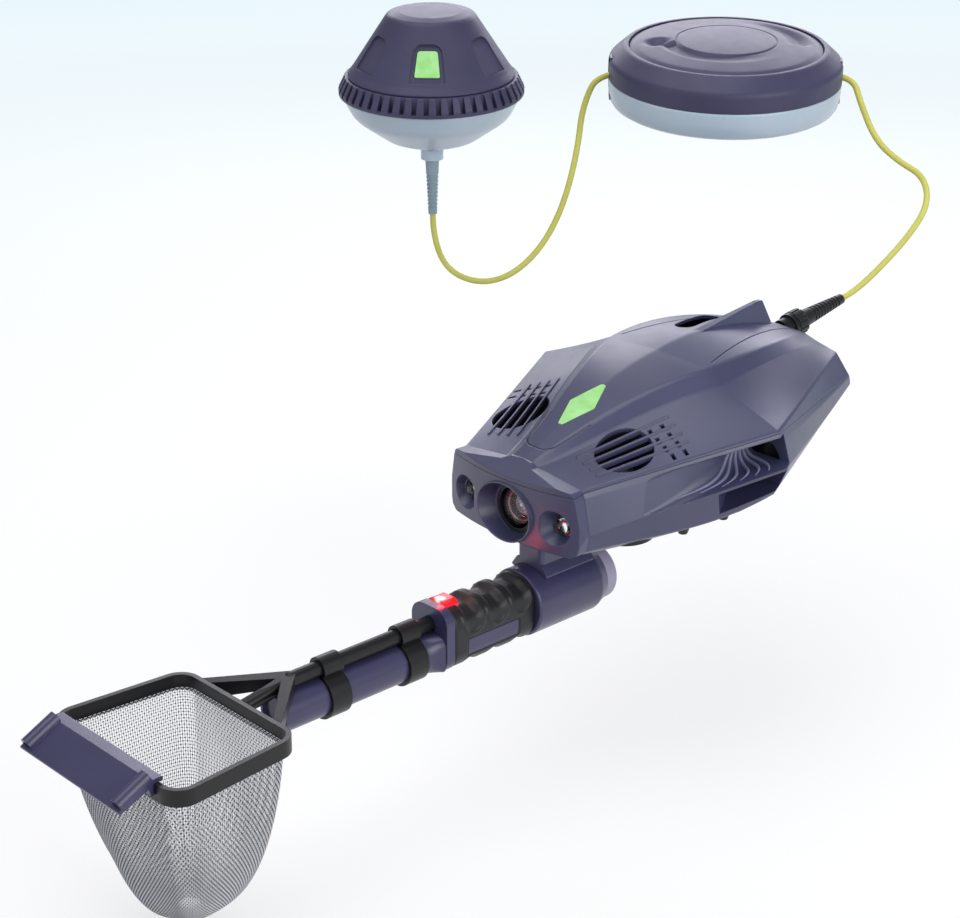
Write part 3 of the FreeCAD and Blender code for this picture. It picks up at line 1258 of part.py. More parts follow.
def buoy_ring():
    half = BUOY_RING_H / 2
    body = turned([(0, -half), (BUOY_R, -half), (BUOY_R, -half + 4), (BUOY_R - 4, half - 0.02), (0, half - 0.02)],
                  [0, 1, 1.5, 1, 0])
    body = body.cut(rod(BUOY_R - 9, Vector(0, 0, -half + BUOY_WALL), Vector(0, 0, half + 1)))
    slot = box(BUOY_R - 4.5, BUOY_R + 3, -BUOY_SLOT_W / 2, BUOY_SLOT_W / 2, -half + 2.2, half + 1)
    return largest(body.cut(fused(around(slot, BUOY_SLOTS))))


def buoy_bowl():
    half = BUOY_RING_H / 2

    def bowl(depth):
        return turned([(0, -half - 0.02), (BUOY_R - 2 - depth, -half - 0.02), (BUOY_R - 9 - depth, -half - 14),
                       (30 - depth, -BOWL_DEPTH + 8 + depth), (COLLAR_R, -BOWL_DEPTH + depth), (0, -BOWL_DEPTH + depth)],
                      [0, 1, 20, 14, 2, 0])
    cup = bowl(0).cut(bowl(BUOY_WALL).common(rod(100, Vector(0, 0, -90), Vector(0, 0, -half - WALL))))
    collar = rod(COLLAR_R, Vector(0, 0, -BOWL_DEPTH - COLLAR_H), Vector(0, 0, -BOWL_DEPTH + 2))
    socket = rod(3.3, Vector(0, 0, -BOWL_DEPTH - COLLAR_H - 1), Vector(0, 0, -BOWL_DEPTH - 1))
    return largest(cup.fuse(collar).cut(socket))


def buoy_boot():
    neck = rod(3.25, Vector(0, 0, -COLLAR_H + 1.5), Vector(0, 0, 0.5))
    body = boot(BUOY_BOOT_L, 4.6, 2.9).fuse(neck)
    body.rotate(Vector(0, 0, 0), Vector(1, 0, 0), 180)
    body.translate(Vector(0, 0, -BOWL_DEPTH - COLLAR_H - 0.05))
    return body


def buoy_radio():
    """Board, battery and antenna inside the buoy."""
    half = BUOY_RING_H / 2
    board = rod(34, Vector(0, 0, -half + BUOY_WALL + 0.02), Vector(0, 0, -half + BUOY_WALL + 1.6))
    cell = box(-22, 22, -16, 16, -half + BUOY_WALL + 1.6, half + 8)
    mast = rod(2.0, Vector(0, 0, half + 7), Vector(0, 0, BUOY_TOP - BUOY_WALL - 8))
    return fused([board, cell, mast])


# ---------------------------------------------------------------- tether
def cord(points, diameter, name):
    """Tube along straight runs joined by tangent arcs, each as large as its two runs allow."""
    edges = []
    last = points[0]
    radii = []
    for index in range(1, len(points) - 1):
        corner = points[index]
        back = points[index - 1] - corner
        ahead = points[index + 1] - corner
        turn = math.pi - back.getAngle(ahead)
        reach = 0.45 * min(back.Length, ahead.Length)
        radii.append(reach / math.tan(turn / 2))
        back.normalize()
        ahead.normalize()
        start = corner + back * reach
        end = corner + ahead * reach
        inward = back + ahead
        inward.normalize()
        depth = reach * (1 / math.sin(turn / 2) - 1 / math.tan(turn / 2))
        edges.append(Part.LineSegment(last, start).toShape())
        edges.append(Part.Arc(start, corner + inward * depth, end).toShape())
        last = end
    edges.append(Part.LineSegment(last, points[-1]).toShape())
    path = Part.Wire(edges)
    first = points[1] - points[0]
    circle = Part.Wire(Part.makeCircle(diameter / 2, points[0], first))
    solid = path.makePipeShell([circle], True, False)
    area = math.pi * diameter ** 2 / 4
    print(name, "length", round(path.Length, 1), "least radius", round(min(radii), 1), "all", [round(r) for r in radii],
          "volume ratio", round(solid.Volume / (area * path.Length), 4))
    return solid


def boot_tip():
    """Centre of the vehicle boot's end face and the direction it faces."""
    start, direction = tether_line()
    return start + direction * (6.2 + BOOT_L), direction


def buoy_tip():
    """Centre of the buoy boot's end face and a point straight below it."""
    at = lean_placement(BUOY_AT, BUOY_LEAN)
    end = -BOWL_DEPTH - COLLAR_H - BUOY_BOOT_L - 0.05
    return at.multVec(Vector(0, 0, end)), at.multVec(Vector(0, 0, end - TETHER_LEAD_UP))


def slot_point(index, reach, height):
    """Point in the winder's cable slot."""
    at = lean_placement(WINDER_AT, WINDER_LEAN)
    turn = math.radians(SLOT_ANGLES[index])
    return at.multVec(Vector(reach * math.cos(turn), reach * math.sin(turn), height))


# Bends of the free tether, each on a whole millimetre.


# ---------------------------------------------------------------- fasteners


def hull_screws():
    screws = []
    for x, y in BELLY_SCREWS:
        screws.append(rod(2.4, Vector(x, y, up(-0.6)), Vector(x, y, up(WALL - 0.3))))
    for y in (PYLON_FRONT + 8, PYLON_BACK - 8):
        screws.append(rod(1.45, Vector(0, y, up(-11.5)), Vector(0, y, up(WALL))))
    return screws


# ---------------------------------------------------------------- build
def write(name, shape):
    if isinstance(shape, (list, tuple)):
        shape = Part.makeCompound(list(shape))
    shape.exportStep(os.path.join("parts", name + ".step"))
    print(name, "solids", len(shape.Solids), "volume", round(shape.Volume), "valid", shape.isValid())


def build_hull():
    form = hull_form(0.0)
    cavity = hull_form(WALL)
    start, end = thruster_axis()
    direction = end - start
    direction.normalize()
    outlet = rod(SIDE_BORE + DUCT_WALL + 0.1, start + direction * 60, end + direction * 20)
    outlets = outlet.fuse(mirrored(outlet))
    upper = hood(form, cavity).cut(outlets)
    tether, aim = tether_line()
    socket_hole = rod(SOCKET_R + 0.1, tether - aim * 12, tether + aim * 20)
    ring_hole = rod(LOCK_R + 0.5, tether - aim * 1.6, tether + aim * 20)
    upper = upper.cut(socket_hole).cut(ring_hole)
    write("top_hood", largest(upper))
    lower = lower_hull(form, cavity, outlets)
    screw_holes = fused([rod(2.45, Vector(x, y, up(-2)), Vector(x, y, up(WALL - 0.3)))
                         for x, y in BELLY_SCREWS])
    write("lower_hull", largest(lower.cut(screw_holes)))
    write("nose_bezel", largest(nose_bezel()))
    write("emblem_window", emblem_window(form))
    vanes = scoop_vanes()
    write("scoop_vanes_port", vanes)
    write("scoop_vanes_starboard", [mirrored(vane) for vane in vanes])
    write("skid_feet", [skid_foot(x, y) for x, y in FEET])
    write("hull_screws", hull_screws())


def build_nose():
    write("camera_housing", camera_housing())
    write("camera_window", camera_window())
    write("camera_lens", camera_lens())
    write("lamp_cups", [lamp_cup(side) for side in (-1, 1)])
    write("lamp_lenses", [lamp_lens(side) for side in (-1, 1)])
    write("lamp_chips", [lamp_chip(side) for side in (-1, 1)])


def build_thrusters():
    write("vertical_ducts", vertical_ducts())
    duct = side_thrust_duct()
    write("thrust_duct_port", duct)
    write("thrust_duct_starboard", mirrored(duct))
    for name, point, aim, bore in thruster_places():
        write("motor_" + name, aimed(motor(bore), point, aim))
        write("propeller_" + name, aimed(propeller(bore - TIP_GAP), point, aim))
        print("   hub", name, point, aim)


def build_inside():
    write("electronics_case", canister())
    write("battery_pack", battery_pack())
    write("control_board", control_board())
    write("tether_socket", tether_socket())
    write("lock_ring", lock_ring())
    write("tether_boot", tether_boot())


def build_arm():
    write("arm_pylon", arm_pylon())
    write("arm_barrel", arm_barrel())
    write("barrel_cap", barrel_cap())
    write("grip_sleeve", grip_sleeve())
    write("grip_plates", grip_plates())
    write("grip_lamp", lamp_block())
    write("arm_flange", arm_flange())
    write("arm_tube", arm_tube())
    write("tube_clips", [tube_clip(y) for y in CLIP_YS])


def build_net():
    write("net_handle", net_handle())
    write("net_frame", net_frame())
    write("net_bag", net_bag())
    write("net_scraper", net_scraper())


def build_floats():
    for name, shape in (("winder_top", winder_top()), ("winder_base", winder_base()), ("winder_dial", winder_dial()),
                        ("winder_spool", winder_spool()), ("wound_tether", wound_tether())):
        write(name, placed(shape, WINDER_AT, WINDER_LEAN))
    write("winder_guides", [placed(guide, WINDER_AT, WINDER_LEAN) for guide in winder_guides()])
    for name, shape in (("buoy_dome", buoy_dome()), ("buoy_ring", buoy_ring()), ("buoy_bowl", buoy_bowl()),
                        ("buoy_window", buoy_window()), ("buoy_boot", buoy_boot()), ("buoy_radio", buoy_radio())):
        write(name, placed(shape, BUOY_AT, BUOY_LEAN))


def build_tether():
    tip, aim = boot_tip()
    bends = [Vector(*bend) for bend in TETHER_LOWER]
    lower = [tip, tip + aim * TETHER_LEAD] + bends + [slot_point(1, WINDER_R + 6, 5), slot_point(1, COIL_R + 5, 3)]
    write("tether_lower", cord(lower, CABLE_D, "tether_lower"))
    tip, below = buoy_tip()
    bends = [Vector(*bend) for bend in TETHER_UPPER]
    upper = [slot_point(0, COIL_R + 5, 2), slot_point(0, WINDER_R + 6, 4)] + bends + [below, tip]
    write("tether_upper", cord(upper, CABLE_D, "tether_upper"))
    print([[round(t, 2) for t in point] for point in lower])
    print([[round(t, 2) for t in point] for point in upper])


os.makedirs("parts", exist_ok=True)
build_hull()
build_nose()
build_thrusters()
build_inside()
build_arm()
build_net()
build_floats()
build_tether()
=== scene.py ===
import json
import math
import random

import bmesh
import bpy
from mathutils import Matrix, Vector
from mathutils.bvhtree import BVHTree


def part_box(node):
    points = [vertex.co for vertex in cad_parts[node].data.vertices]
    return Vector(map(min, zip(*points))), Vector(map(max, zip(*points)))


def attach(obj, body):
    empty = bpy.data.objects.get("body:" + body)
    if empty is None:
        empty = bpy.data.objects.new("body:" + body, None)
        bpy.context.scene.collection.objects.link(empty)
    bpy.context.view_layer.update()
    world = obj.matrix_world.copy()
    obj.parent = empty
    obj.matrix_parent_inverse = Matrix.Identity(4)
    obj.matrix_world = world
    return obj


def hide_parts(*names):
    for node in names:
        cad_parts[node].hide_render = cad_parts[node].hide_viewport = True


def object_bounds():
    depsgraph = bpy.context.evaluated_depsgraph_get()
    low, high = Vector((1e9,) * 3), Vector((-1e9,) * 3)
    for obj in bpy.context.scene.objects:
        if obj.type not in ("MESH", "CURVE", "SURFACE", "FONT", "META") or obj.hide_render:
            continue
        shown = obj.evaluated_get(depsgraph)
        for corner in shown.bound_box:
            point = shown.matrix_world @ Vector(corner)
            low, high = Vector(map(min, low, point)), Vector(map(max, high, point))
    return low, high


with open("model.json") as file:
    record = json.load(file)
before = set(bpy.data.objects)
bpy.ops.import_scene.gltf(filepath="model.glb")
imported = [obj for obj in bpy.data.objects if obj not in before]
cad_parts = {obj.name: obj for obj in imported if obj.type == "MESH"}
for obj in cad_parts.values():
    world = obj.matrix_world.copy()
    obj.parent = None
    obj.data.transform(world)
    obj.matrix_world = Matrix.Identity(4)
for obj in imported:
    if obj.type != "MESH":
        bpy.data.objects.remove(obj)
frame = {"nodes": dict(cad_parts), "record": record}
cad_low, cad_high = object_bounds()

MM = 0.001

# Camera, world and floor
VIEW_AZIMUTH = 47.0
VIEW_ELEVATION = 22.0
CAMERA_PLACE = (0.7836, -0.8729, 0.4448)
CAMERA_LENS_MM = 80.0
WORLD_STRENGTH = 0.36
FLOOR_DROP = 6 * MM
FLOOR_REACH = 14.0

# Landing net: the frame's strip, the thread and the bag
STRIP_THICKNESS = 3.0 * MM
STRIP_CORNER = 9.0 * MM
FRAME_TAPER = 7.0 * MM
NET_THREAD = 0.56 * MM
NET_COLUMNS = 240
NET_ROWS = 76
NET_DEPTH = 97.0 * MM
NET_SEED = 11

# Winder float, in millimetres and degrees
WINDER_AT = (-109.0, 175.0, 158.0)
WINDER_LEAN = 6.0
WINDER_TURN = 47.0
WINDER_TOP = 21.0
WINDER_WALL = 2.2
DIAL_RADIUS = 62.0
DIAL_CROWN = 4.5
HUB_SEAM = (31.9, 32.9)
DIMPLE_OUT = 44.0
DIMPLE_RADIUS = 10.5
DIMPLE_DEPTH = 4.4
DRUM_SLOTS = (WINDER_TURN + 180.0, WINDER_TURN - 6.0)
DRUM_HALF_SLOT = 3.6
DRUM_SLOT_RINGS = 3

# Grip and tube, in millimetres
GRIP_HALF_HEIGHT = 18.5
GRIP_CORNER = 12.0
FINGERS = (14.0, 32.0, 50.0)
TUBE_RADIUS = 11.0
NECK_LENGTH = 12.0

# Scoop ribs: where each starts on the ledge and ends on the back wall, in millimetres along the hull
RIB_SPANS = ((-62, -13.5), (-47, -10.0), (-35, -6.8), (-25, -3.9), (-16.5, -1.3), (-9, 0.8))
RIB_RADIUS = 1.15
RIB_STEPS = 34

# Points round each turned piece
ROUND_COUNT = 96
DIAL_COUNT = 240

# Tether
TETHER_DIAMETER = 4.0 * MM
TETHER_LOWER = [
    (3.24, 164.33, 36.83), (4.15, 177.08, 39.17), (11, 194, 54), (16, 212, 70), (18, 229, 88),
    (9, 235, 104), (-8, 229, 112), (-21, 222, 124), (-34, 222, 144), (-47.52, 227.82, 162.09),
    (-63.51, 214.17, 160.33),
]
TETHER_UPPER = [
    (-149.77, 130.98, 159.99), (-163.94, 115.48, 161.98), (-171, 108, 139), (-168, 101, 111),
    (-170, 91, 76), (-175, 76, 49), (-186, 59, 31), (-203, 45, 25), (-224, 36, 32), (-242.31, 40.95, 50.2),
    (-241.49, 40.19, 66.16),
]


# Uneven gloss of every solid finish: the size of its patches and how far roughness strays
CLOUD_MM = 9.0
ROUGH_SPREAD = 0.06


# ---------------------------------------------------------------- materials
def srgb(code):
    """Linear colour of an sRGB hex value."""
    channels = [int(code[place:place + 2], 16) / 255 for place in (1, 3, 5)]
    return [c / 12.92 if c <= 0.04045 else ((c + 0.055) / 1.055) ** 2.4 for c in channels] + [1.0]


def add(tree, kind, values=None, links=None):
    """Add one shader node, set its values, and link its inputs from other sockets."""
    node = tree.nodes.new(kind)
    for name, value in (values or {}).items():
        if isinstance(name, int) or name in node.inputs:
            node.inputs[name].default_value = value
        else:
            setattr(node, name, value)
    for name, source in (links or {}).items():
        tree.links.new(source, node.inputs[name])
    return node


def per_mm(size):
    """Texture scale at which one feature is size millimetres wide, for coordinates in metres."""
    return 1.0 / (size * MM)


def blank(name):
    """An empty material with its output node."""
    material = bpy.data.materials.new(name)
    material.use_nodes = True
    tree = material.node_tree
    tree.nodes.clear()
    return material, tree, add(tree, "ShaderNodeOutputMaterial")


def shade(colours, tree, where, size):
    """Slow drift between two close colours, as any moulded or sprayed face shows."""
    drift = add(tree, "ShaderNodeTexNoise", {"Scale": per_mm(size), "Detail": 3.0}, {"Vector": where})
    ramp = add(tree, "ShaderNodeValToRGB", {}, {"Fac": drift.outputs["Fac"]})
    ramp.color_ramp.elements[0].position = 0.3
    ramp.color_ramp.elements[1].position = 0.7
    ramp.color_ramp.elements[0].color = srgb(colours[0])
    ramp.color_ramp.elements[1].color = srgb(colours[1])
    return ramp.outputs["Color"]


def surface(name, colours, roughness, grain_mm, grain_height, edge_mm, drift_mm=45.0, **shader):
    """A solid finish: colour drift, uneven gloss, fine grain and softly rounded edges."""
    material, tree, output = blank(name)
    where = add(tree, "ShaderNodeTexCoord").outputs["Object"]
    colour = shade(colours, tree, where, drift_mm)
    cloud = add(tree, "ShaderNodeTexNoise", {"Scale": per_mm(CLOUD_MM), "Detail": 4.0}, {"Vector": where})
    gloss = add(tree, "ShaderNodeMapRange",
                {"To Min": roughness - ROUGH_SPREAD, "To Max": roughness + ROUGH_SPREAD},
                {"Value": cloud.outputs["Fac"]})
    grain = add(tree, "ShaderNodeTexNoise", {"Scale": per_mm(grain_mm), "Detail": 2.0}, {"Vector": where})
    soft = add(tree, "ShaderNodeBevel", {"samples": 6, "Radius": edge_mm * MM})
    bump = add(tree, "ShaderNodeBump", {"Strength": 1.0, "Distance": grain_height * MM},
               {"Height": grain.outputs["Fac"], "Normal": soft.outputs["Normal"]})
    body = add(tree, "ShaderNodeBsdfPrincipled", shader,
               {"Base Color": colour, "Roughness": gloss.outputs["Result"], "Normal": bump.outputs["Normal"]})
    tree.links.new(body.outputs["BSDF"], output.inputs["Surface"])
    return material


def clear(name, tint, ior, roughness):
    """Clear moulding or glass that light passes straight through."""
    material, tree, output = blank(name)
    body = add(tree, "ShaderNodeBsdfPrincipled",
               {"Base Color": srgb(tint), "IOR": ior, "Transmission Weight": 1.0, "Roughness": roughness})
    tree.links.new(body.outputs["BSDF"], output.inputs["Surface"])
    return material


def lit(name, colours, glow, strength, roughness, size):
    """Translucent lens with a light behind it."""
    material, tree, output = blank(name)
    where = add(tree, "ShaderNodeTexCoord").outputs["Object"]
    colour = shade(colours, tree, where, size)
    body = add(tree, "ShaderNodeBsdfPrincipled",
               {"IOR": 1.58, "Roughness": roughness, "Emission Strength": strength,
                "Emission Color": srgb(glow), "Coat Weight": 0.5, "Coat Roughness": 0.08},
               {"Base Color": colour})
    tree.links.new(body.outputs["BSDF"], output.inputs["Surface"])
    return material


def make_materials():
    """Every finish by its slot, then the finishes that single pieces have of their own."""
    finishes = {}
    # Moulded ABS: eroded mould texture of about 0.5 mm grain, drawn at 0.9 mm so that it shows; satin.
    finishes["hull_plastic"] = surface("moulded_abs_slate", ("#3B3C5C", "#424467"), 0.38, 0.9, 0.012, 0.9,
                                       IOR=1.54, **{"Coat Weight": 0.30, "Coat Roughness": 0.30})
    # Polished ABS of the ducts and scoop ribs: smoother and glossier than the hull. Its paler colour is
    # painted highlight: the hull's slate lightened to look lit, as the scoop and ribs catch the light.
    finishes["duct_plastic"] = surface("polished_abs_slate_painted_highlight", ("#7A7B99", "#8687A5"), 0.34, 1.2, 0.008, 0.5,
                                       IOR=1.54)
    # Acrylic light guide, lit softly from behind.
    finishes["green_glass"] = lit("acrylic_light_guide_green", ("#86C873", "#A5DA95"), "#8FCB6B",
                                  0.35, 0.30, 6.0)
    # Red polycarbonate lens: glossy, with a light of its own.
    finishes["red_glass"] = lit("polycarbonate_lens_red", ("#C01810", "#E8281A"), "#FF2A18", 1.2, 0.18, 4.0)
    # Nitrile rubber: fine matt bloom with a soft highlight.
    finishes["black_rubber"] = surface("moulded_nitrile_rubber", ("#151517", "#1E1E21"), 0.42, 0.7, 0.015,
                                       0.8, IOR=1.44, **{"Sheen Weight": 0.08})
    # Pale moulded rubber of the buoy's boot: chalky, with no clear highlight.
    finishes["boot_rubber"] = surface("moulded_boot_rubber", ("#8FA6B0", "#9FB4BD"), 0.46, 0.7, 0.015, 0.4,
                                      IOR=1.50)
    # Stainless A4 screws, bead blasted: an even grey metal with no streaks.
    finishes["steel"] = surface("blasted_stainless", ("#9EA0A3", "#B7B9BC"), 0.30, 0.4, 0.006, 0.2,
                                Metallic=1.0)
    # Glass-filled nylon with a mould polish: near black, glossy enough to mirror a window.
    finishes["black_plastic"] = surface("glass_filled_nylon", ("#101012", "#18181A"), 0.36, 0.8, 0.010, 0.5,
                                        IOR=1.42)
    # Polished optical glass: clear, with crisp reflections.
    finishes["clear_glass"] = clear("optical_glass", "#F4F7FA", 1.50, 0.02)
    # Coated objective: black glass with a faint magenta reflex.
    finishes["lens_glass"] = surface("coated_objective", ("#2A2030", "#4A3848"), 0.08, 2.0, 0.0, 0.2,
                                     IOR=1.70, **{"Coat Weight": 1.0, "Coat Roughness": 0.03})
    # LED phosphor: a matt yellow tablet that glows faintly.
    finishes["lamp_chip"] = lit("led_phosphor", ("#E8C64A", "#F0D468"), "#FFF0B0", 0.6, 0.5, 1.0)
    # Hard-anodised aluminium can: dark satin metal.
    finishes["motor_metal"] = surface("anodised_aluminium_dark", ("#55565A", "#66686C"), 0.34, 0.5, 0.006,
                                      0.3, Metallic=1.0)
    # Moulded nylon blades: near black and satin.
    finishes["propeller_plastic"] = surface("nylon_propeller", ("#232326", "#303034"), 0.42, 0.8, 0.010, 0.3,
                                            IOR=1.53)
    # Clear-anodised aluminium canister: pale satin metal.
    finishes["case_metal"] = surface("anodised_aluminium_natural", ("#8C8E92", "#A0A2A6"), 0.32, 0.5, 0.006,
                                     0.4, Metallic=1.0)
    # PVC heat-shrink wrap: smooth glossy blue.
    finishes["cell_wrap"] = surface("heat_shrink_wrap", ("#27548C", "#2F639F"), 0.25, 2.0, 0.01, 0.4, IOR=1.5)
    # Epoxy solder mask: glossy green lacquer.
    finishes["board"] = surface("solder_mask", ("#1D5A34", "#25683D"), 0.30, 1.2, 0.01, 0.2, IOR=1.5)
    # Sprayed aluminium: orange peel about 2 mm across under a satin lacquer.
    finishes["arm_paint"] = surface("sprayed_aluminium_violet", ("#38365A", "#423F64"), 0.34, 2.0, 0.010, 0.8,
                                    IOR=1.50, **{"Coat Weight": 0.25, "Coat Roughness": 0.22})
    # Lilac moulded ABS of the end cap: the hull's texture, satin.
    finishes["cap_plastic"] = surface("moulded_abs_lilac", ("#A29DB8", "#B3AEC5"), 0.40, 0.9, 0.010, 0.6,
                                      IOR=1.54)
    # Moulded ABS of the floats' tops: duller than the hull.
    finishes["float_navy"] = surface("moulded_abs_float", ("#403E5A", "#494766"), 0.46, 0.9, 0.012, 0.8,
                                     IOR=1.42)
    # Polycarbonate lower shells, pale and slightly milky.
    finishes["float_pale"] = surface("milky_polycarbonate", ("#C2D4E2", "#CEDDE9"), 0.30, 1.5, 0.006, 0.6,
                                     IOR=1.58, **{"Subsurface Weight": 0.2, "Subsurface Scale": 4 * MM})
    # Polyurethane tether jacket, smooth and slightly waxy.
    finishes["tether_jacket"] = surface("polyurethane_jacket", ("#D6D262", "#E2E070"), 0.42, 1.2, 0.010, 0.2,
                                        drift_mm=30.0, IOR=1.50, **{"Sheen Weight": 0.05})
    finishes["net_mesh"] = thread_material()
    # Bloomed domed port: hardly any reflection.
    finishes["window_glass"] = clear("bloomed_port_glass", "#FFFFFF", 1.16, 0.0)
    low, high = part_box("grip_lamp")
    finishes["beacon"] = beacon_glass(Vector(((low.x + high.x) / 2, low.y + 2 * MM, high.z)))
    low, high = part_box("camera_lens")
    finishes["objective"] = ringed_glass((low + high) / 2)
    return finishes


def thread_material():
    """Nylon netting: matt white thread, black round every second crossing."""
    material, tree, output = blank("nylon_thread_dark_crossings")
    dark_crossing = add(tree, "ShaderNodeAttribute", {"attribute_name": "dark_crossing"})
    ramp = add(tree, "ShaderNodeValToRGB", {}, {"Fac": dark_crossing.outputs["Fac"]})
    ramp.color_ramp.elements[0].position = 0.60
    ramp.color_ramp.elements[1].position = 0.70
    ramp.color_ramp.elements[0].color = srgb("#E4E4E8")
    ramp.color_ramp.elements[1].color = srgb("#1A1A1D")
    body = add(tree, "ShaderNodeBsdfPrincipled", {"Roughness": 0.6, "IOR": 1.53, "Sheen Weight": 0.2},
               {"Base Color": ramp.outputs["Color"]})
    tree.links.new(body.outputs["BSDF"], output.inputs["Surface"])
    return material


def ringed_glass(centre):
    """Objective glass: rings round the lens axis, partly the cells behind it and partly painted reflection,
    with a painted highlight at the middle.
    """
    material, tree, output = blank("objective_painted_reflection_rings")
    where = add(tree, "ShaderNodeTexCoord").outputs["Object"]
    near = add(tree, "ShaderNodeVectorMath", {"operation": "SUBTRACT", 1: tuple(centre)}, {0: where})
    flat = add(tree, "ShaderNodeVectorMath", {"operation": "MULTIPLY", 1: (1, 0, 1)},
               {0: near.outputs["Vector"]})
    radius = add(tree, "ShaderNodeVectorMath", {"operation": "LENGTH"}, {0: flat.outputs["Vector"]})
    share = add(tree, "ShaderNodeMapRange", {"From Max": 6.2 * MM}, {"Value": radius.outputs["Value"]})
    ramp = add(tree, "ShaderNodeValToRGB", {}, {"Fac": share.outputs["Result"]})
    # Painted reflections: a pale painted highlight at the middle, grey and dark rings of the cells, and the
    # coating's pink reflex painted at the edge.
    rings = ((0.0, "#D8CFD6"), (0.12, "#8C8492"), (0.30, "#5C5263"), (0.36, "#9C8E9C"), (0.55, "#6E6070"),
             (0.62, "#B29AA6"), (0.78, "#8A7480"), (0.86, "#C0808C"), (1.0, "#A84E60"))
    steps = ramp.color_ramp.elements
    steps[0].color = srgb(rings[0][1])
    steps[1].color = srgb(rings[-1][1])
    for place, code in rings[1:-1]:
        steps.new(place).color = srgb(code)
    body = add(tree, "ShaderNodeBsdfPrincipled",
               {"Roughness": 0.08, "IOR": 1.6, "Coat Weight": 1.0, "Coat Roughness": 0.03},
               {"Base Color": ramp.outputs["Color"]})
    tree.links.new(body.outputs["BSDF"], output.inputs["Surface"])
    return material


def beacon_glass(centre):
    """Red lens whose lamp burns white at the middle."""
    material, tree, output = blank("polycarbonate_beacon_red")
    where = add(tree, "ShaderNodeTexCoord").outputs["Object"]
    away = add(tree, "ShaderNodeVectorMath", {"operation": "DISTANCE", 1: tuple(centre)}, {0: where})
    share = add(tree, "ShaderNodeMapRange", {"From Min": 2.2 * MM, "From Max": 7.0 * MM},
                {"Value": away.outputs["Value"]})
    ramp = add(tree, "ShaderNodeValToRGB", {}, {"Fac": share.outputs["Result"]})
    ramp.color_ramp.elements[0].color = srgb("#FFF4F0")
    ramp.color_ramp.elements[1].color = srgb("#B80C16")
    ramp.color_ramp.elements.new(0.28).color = srgb("#FF4A4E")
    body = add(tree, "ShaderNodeBsdfPrincipled",
               {"Base Color": srgb("#C01018"), "IOR": 1.58, "Roughness": 0.2, "Emission Strength": 1.0},
               {"Emission Color": ramp.outputs["Color"]})
    tree.links.new(body.outputs["BSDF"], output.inputs["Surface"])
    return material


def finish_cad_nodes(finishes):
    """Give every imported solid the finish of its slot."""
    slots = {part["node"]: part["material_slot"] for part in frame["record"]["subparts"]}
    for name, piece in frame["nodes"].items():
        piece.data.materials.clear()
        piece.data.materials.append(finishes[slots[name]])
    own = {"arm_flange": "arm_paint", "camera_window": "window_glass",
           "grip_lamp": "beacon", "lock_ring": "black_rubber", "tether_boot": "black_rubber"}
    for name, finish in own.items():
        frame["nodes"][name].data.materials[0] = finishes[finish]


# ---------------------------------------------------------------- pieces
def new_piece(name, mesh, material, body):
    """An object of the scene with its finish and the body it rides."""
    piece = bpy.data.objects.new(name, mesh)
    bpy.context.scene.collection.objects.link(piece)
    piece.data.materials.append(material)
    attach(piece, body)
    return piece


def metres(point):
    """A point in millimetres turned to metres."""
    return tuple(value * MM for value in point)


def tether(name, points, node, finishes):
    """One free stretch of tether as a smooth line through the shape of its route."""
    curve = bpy.data.curves.new(name, "CURVE")
    curve.dimensions = "3D"
    curve.bevel_depth = TETHER_DIAMETER / 2
    curve.bevel_resolution = 6
    curve.resolution_u = 12
    curve.use_fill_caps = True
    spline = curve.splines.new("NURBS")
    spline.points.add(len(points) - 1)
    for control, point in zip(spline.points, points):
        control.co = (*metres(point), 1.0)
    spline.order_u = 3
    spline.use_endpoint_u = True
    piece = new_piece(name, curve, finishes["tether_jacket"], "vehicle")
    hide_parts(node)
    return piece


def mesh_from(name, points, faces):
    """A smooth-shaded mesh."""
    mesh = bpy.data.meshes.new(name)
    mesh.from_pydata([tuple(point) for point in points], [], faces)
    mesh.validate()
    for polygon in mesh.polygons:
        polygon.use_smooth = True
    return mesh


def ring_faces(rings, count):
    """Quads between successive closed rings of count points."""
    faces = []
    for ring in range(rings - 1):
        for step in range(count):
            following = (step + 1) % count
            faces.append((ring * count + step, ring * count + following,
                          (ring + 1) * count + following, (ring + 1) * count + step))
    return faces


def eased(value):
    """Smooth step from 0 to 1."""
    value = max(0.0, min(1.0, value))
    return value * value * (3 - 2 * value)


def float_place():
    """Where the winder stands: its centre and its lean."""
    turn = math.radians(WINDER_TURN)
    axis = Vector((math.cos(turn), math.sin(turn), 0))
    return Matrix.Translation(metres(WINDER_AT)) @ Matrix.Rotation(math.radians(WINDER_LEAN), 4, axis)


def off_slot(turn, slot):
    """Degrees between a direction and a slot's middle."""
    return abs((turn - slot + 180) % 360 - 180)


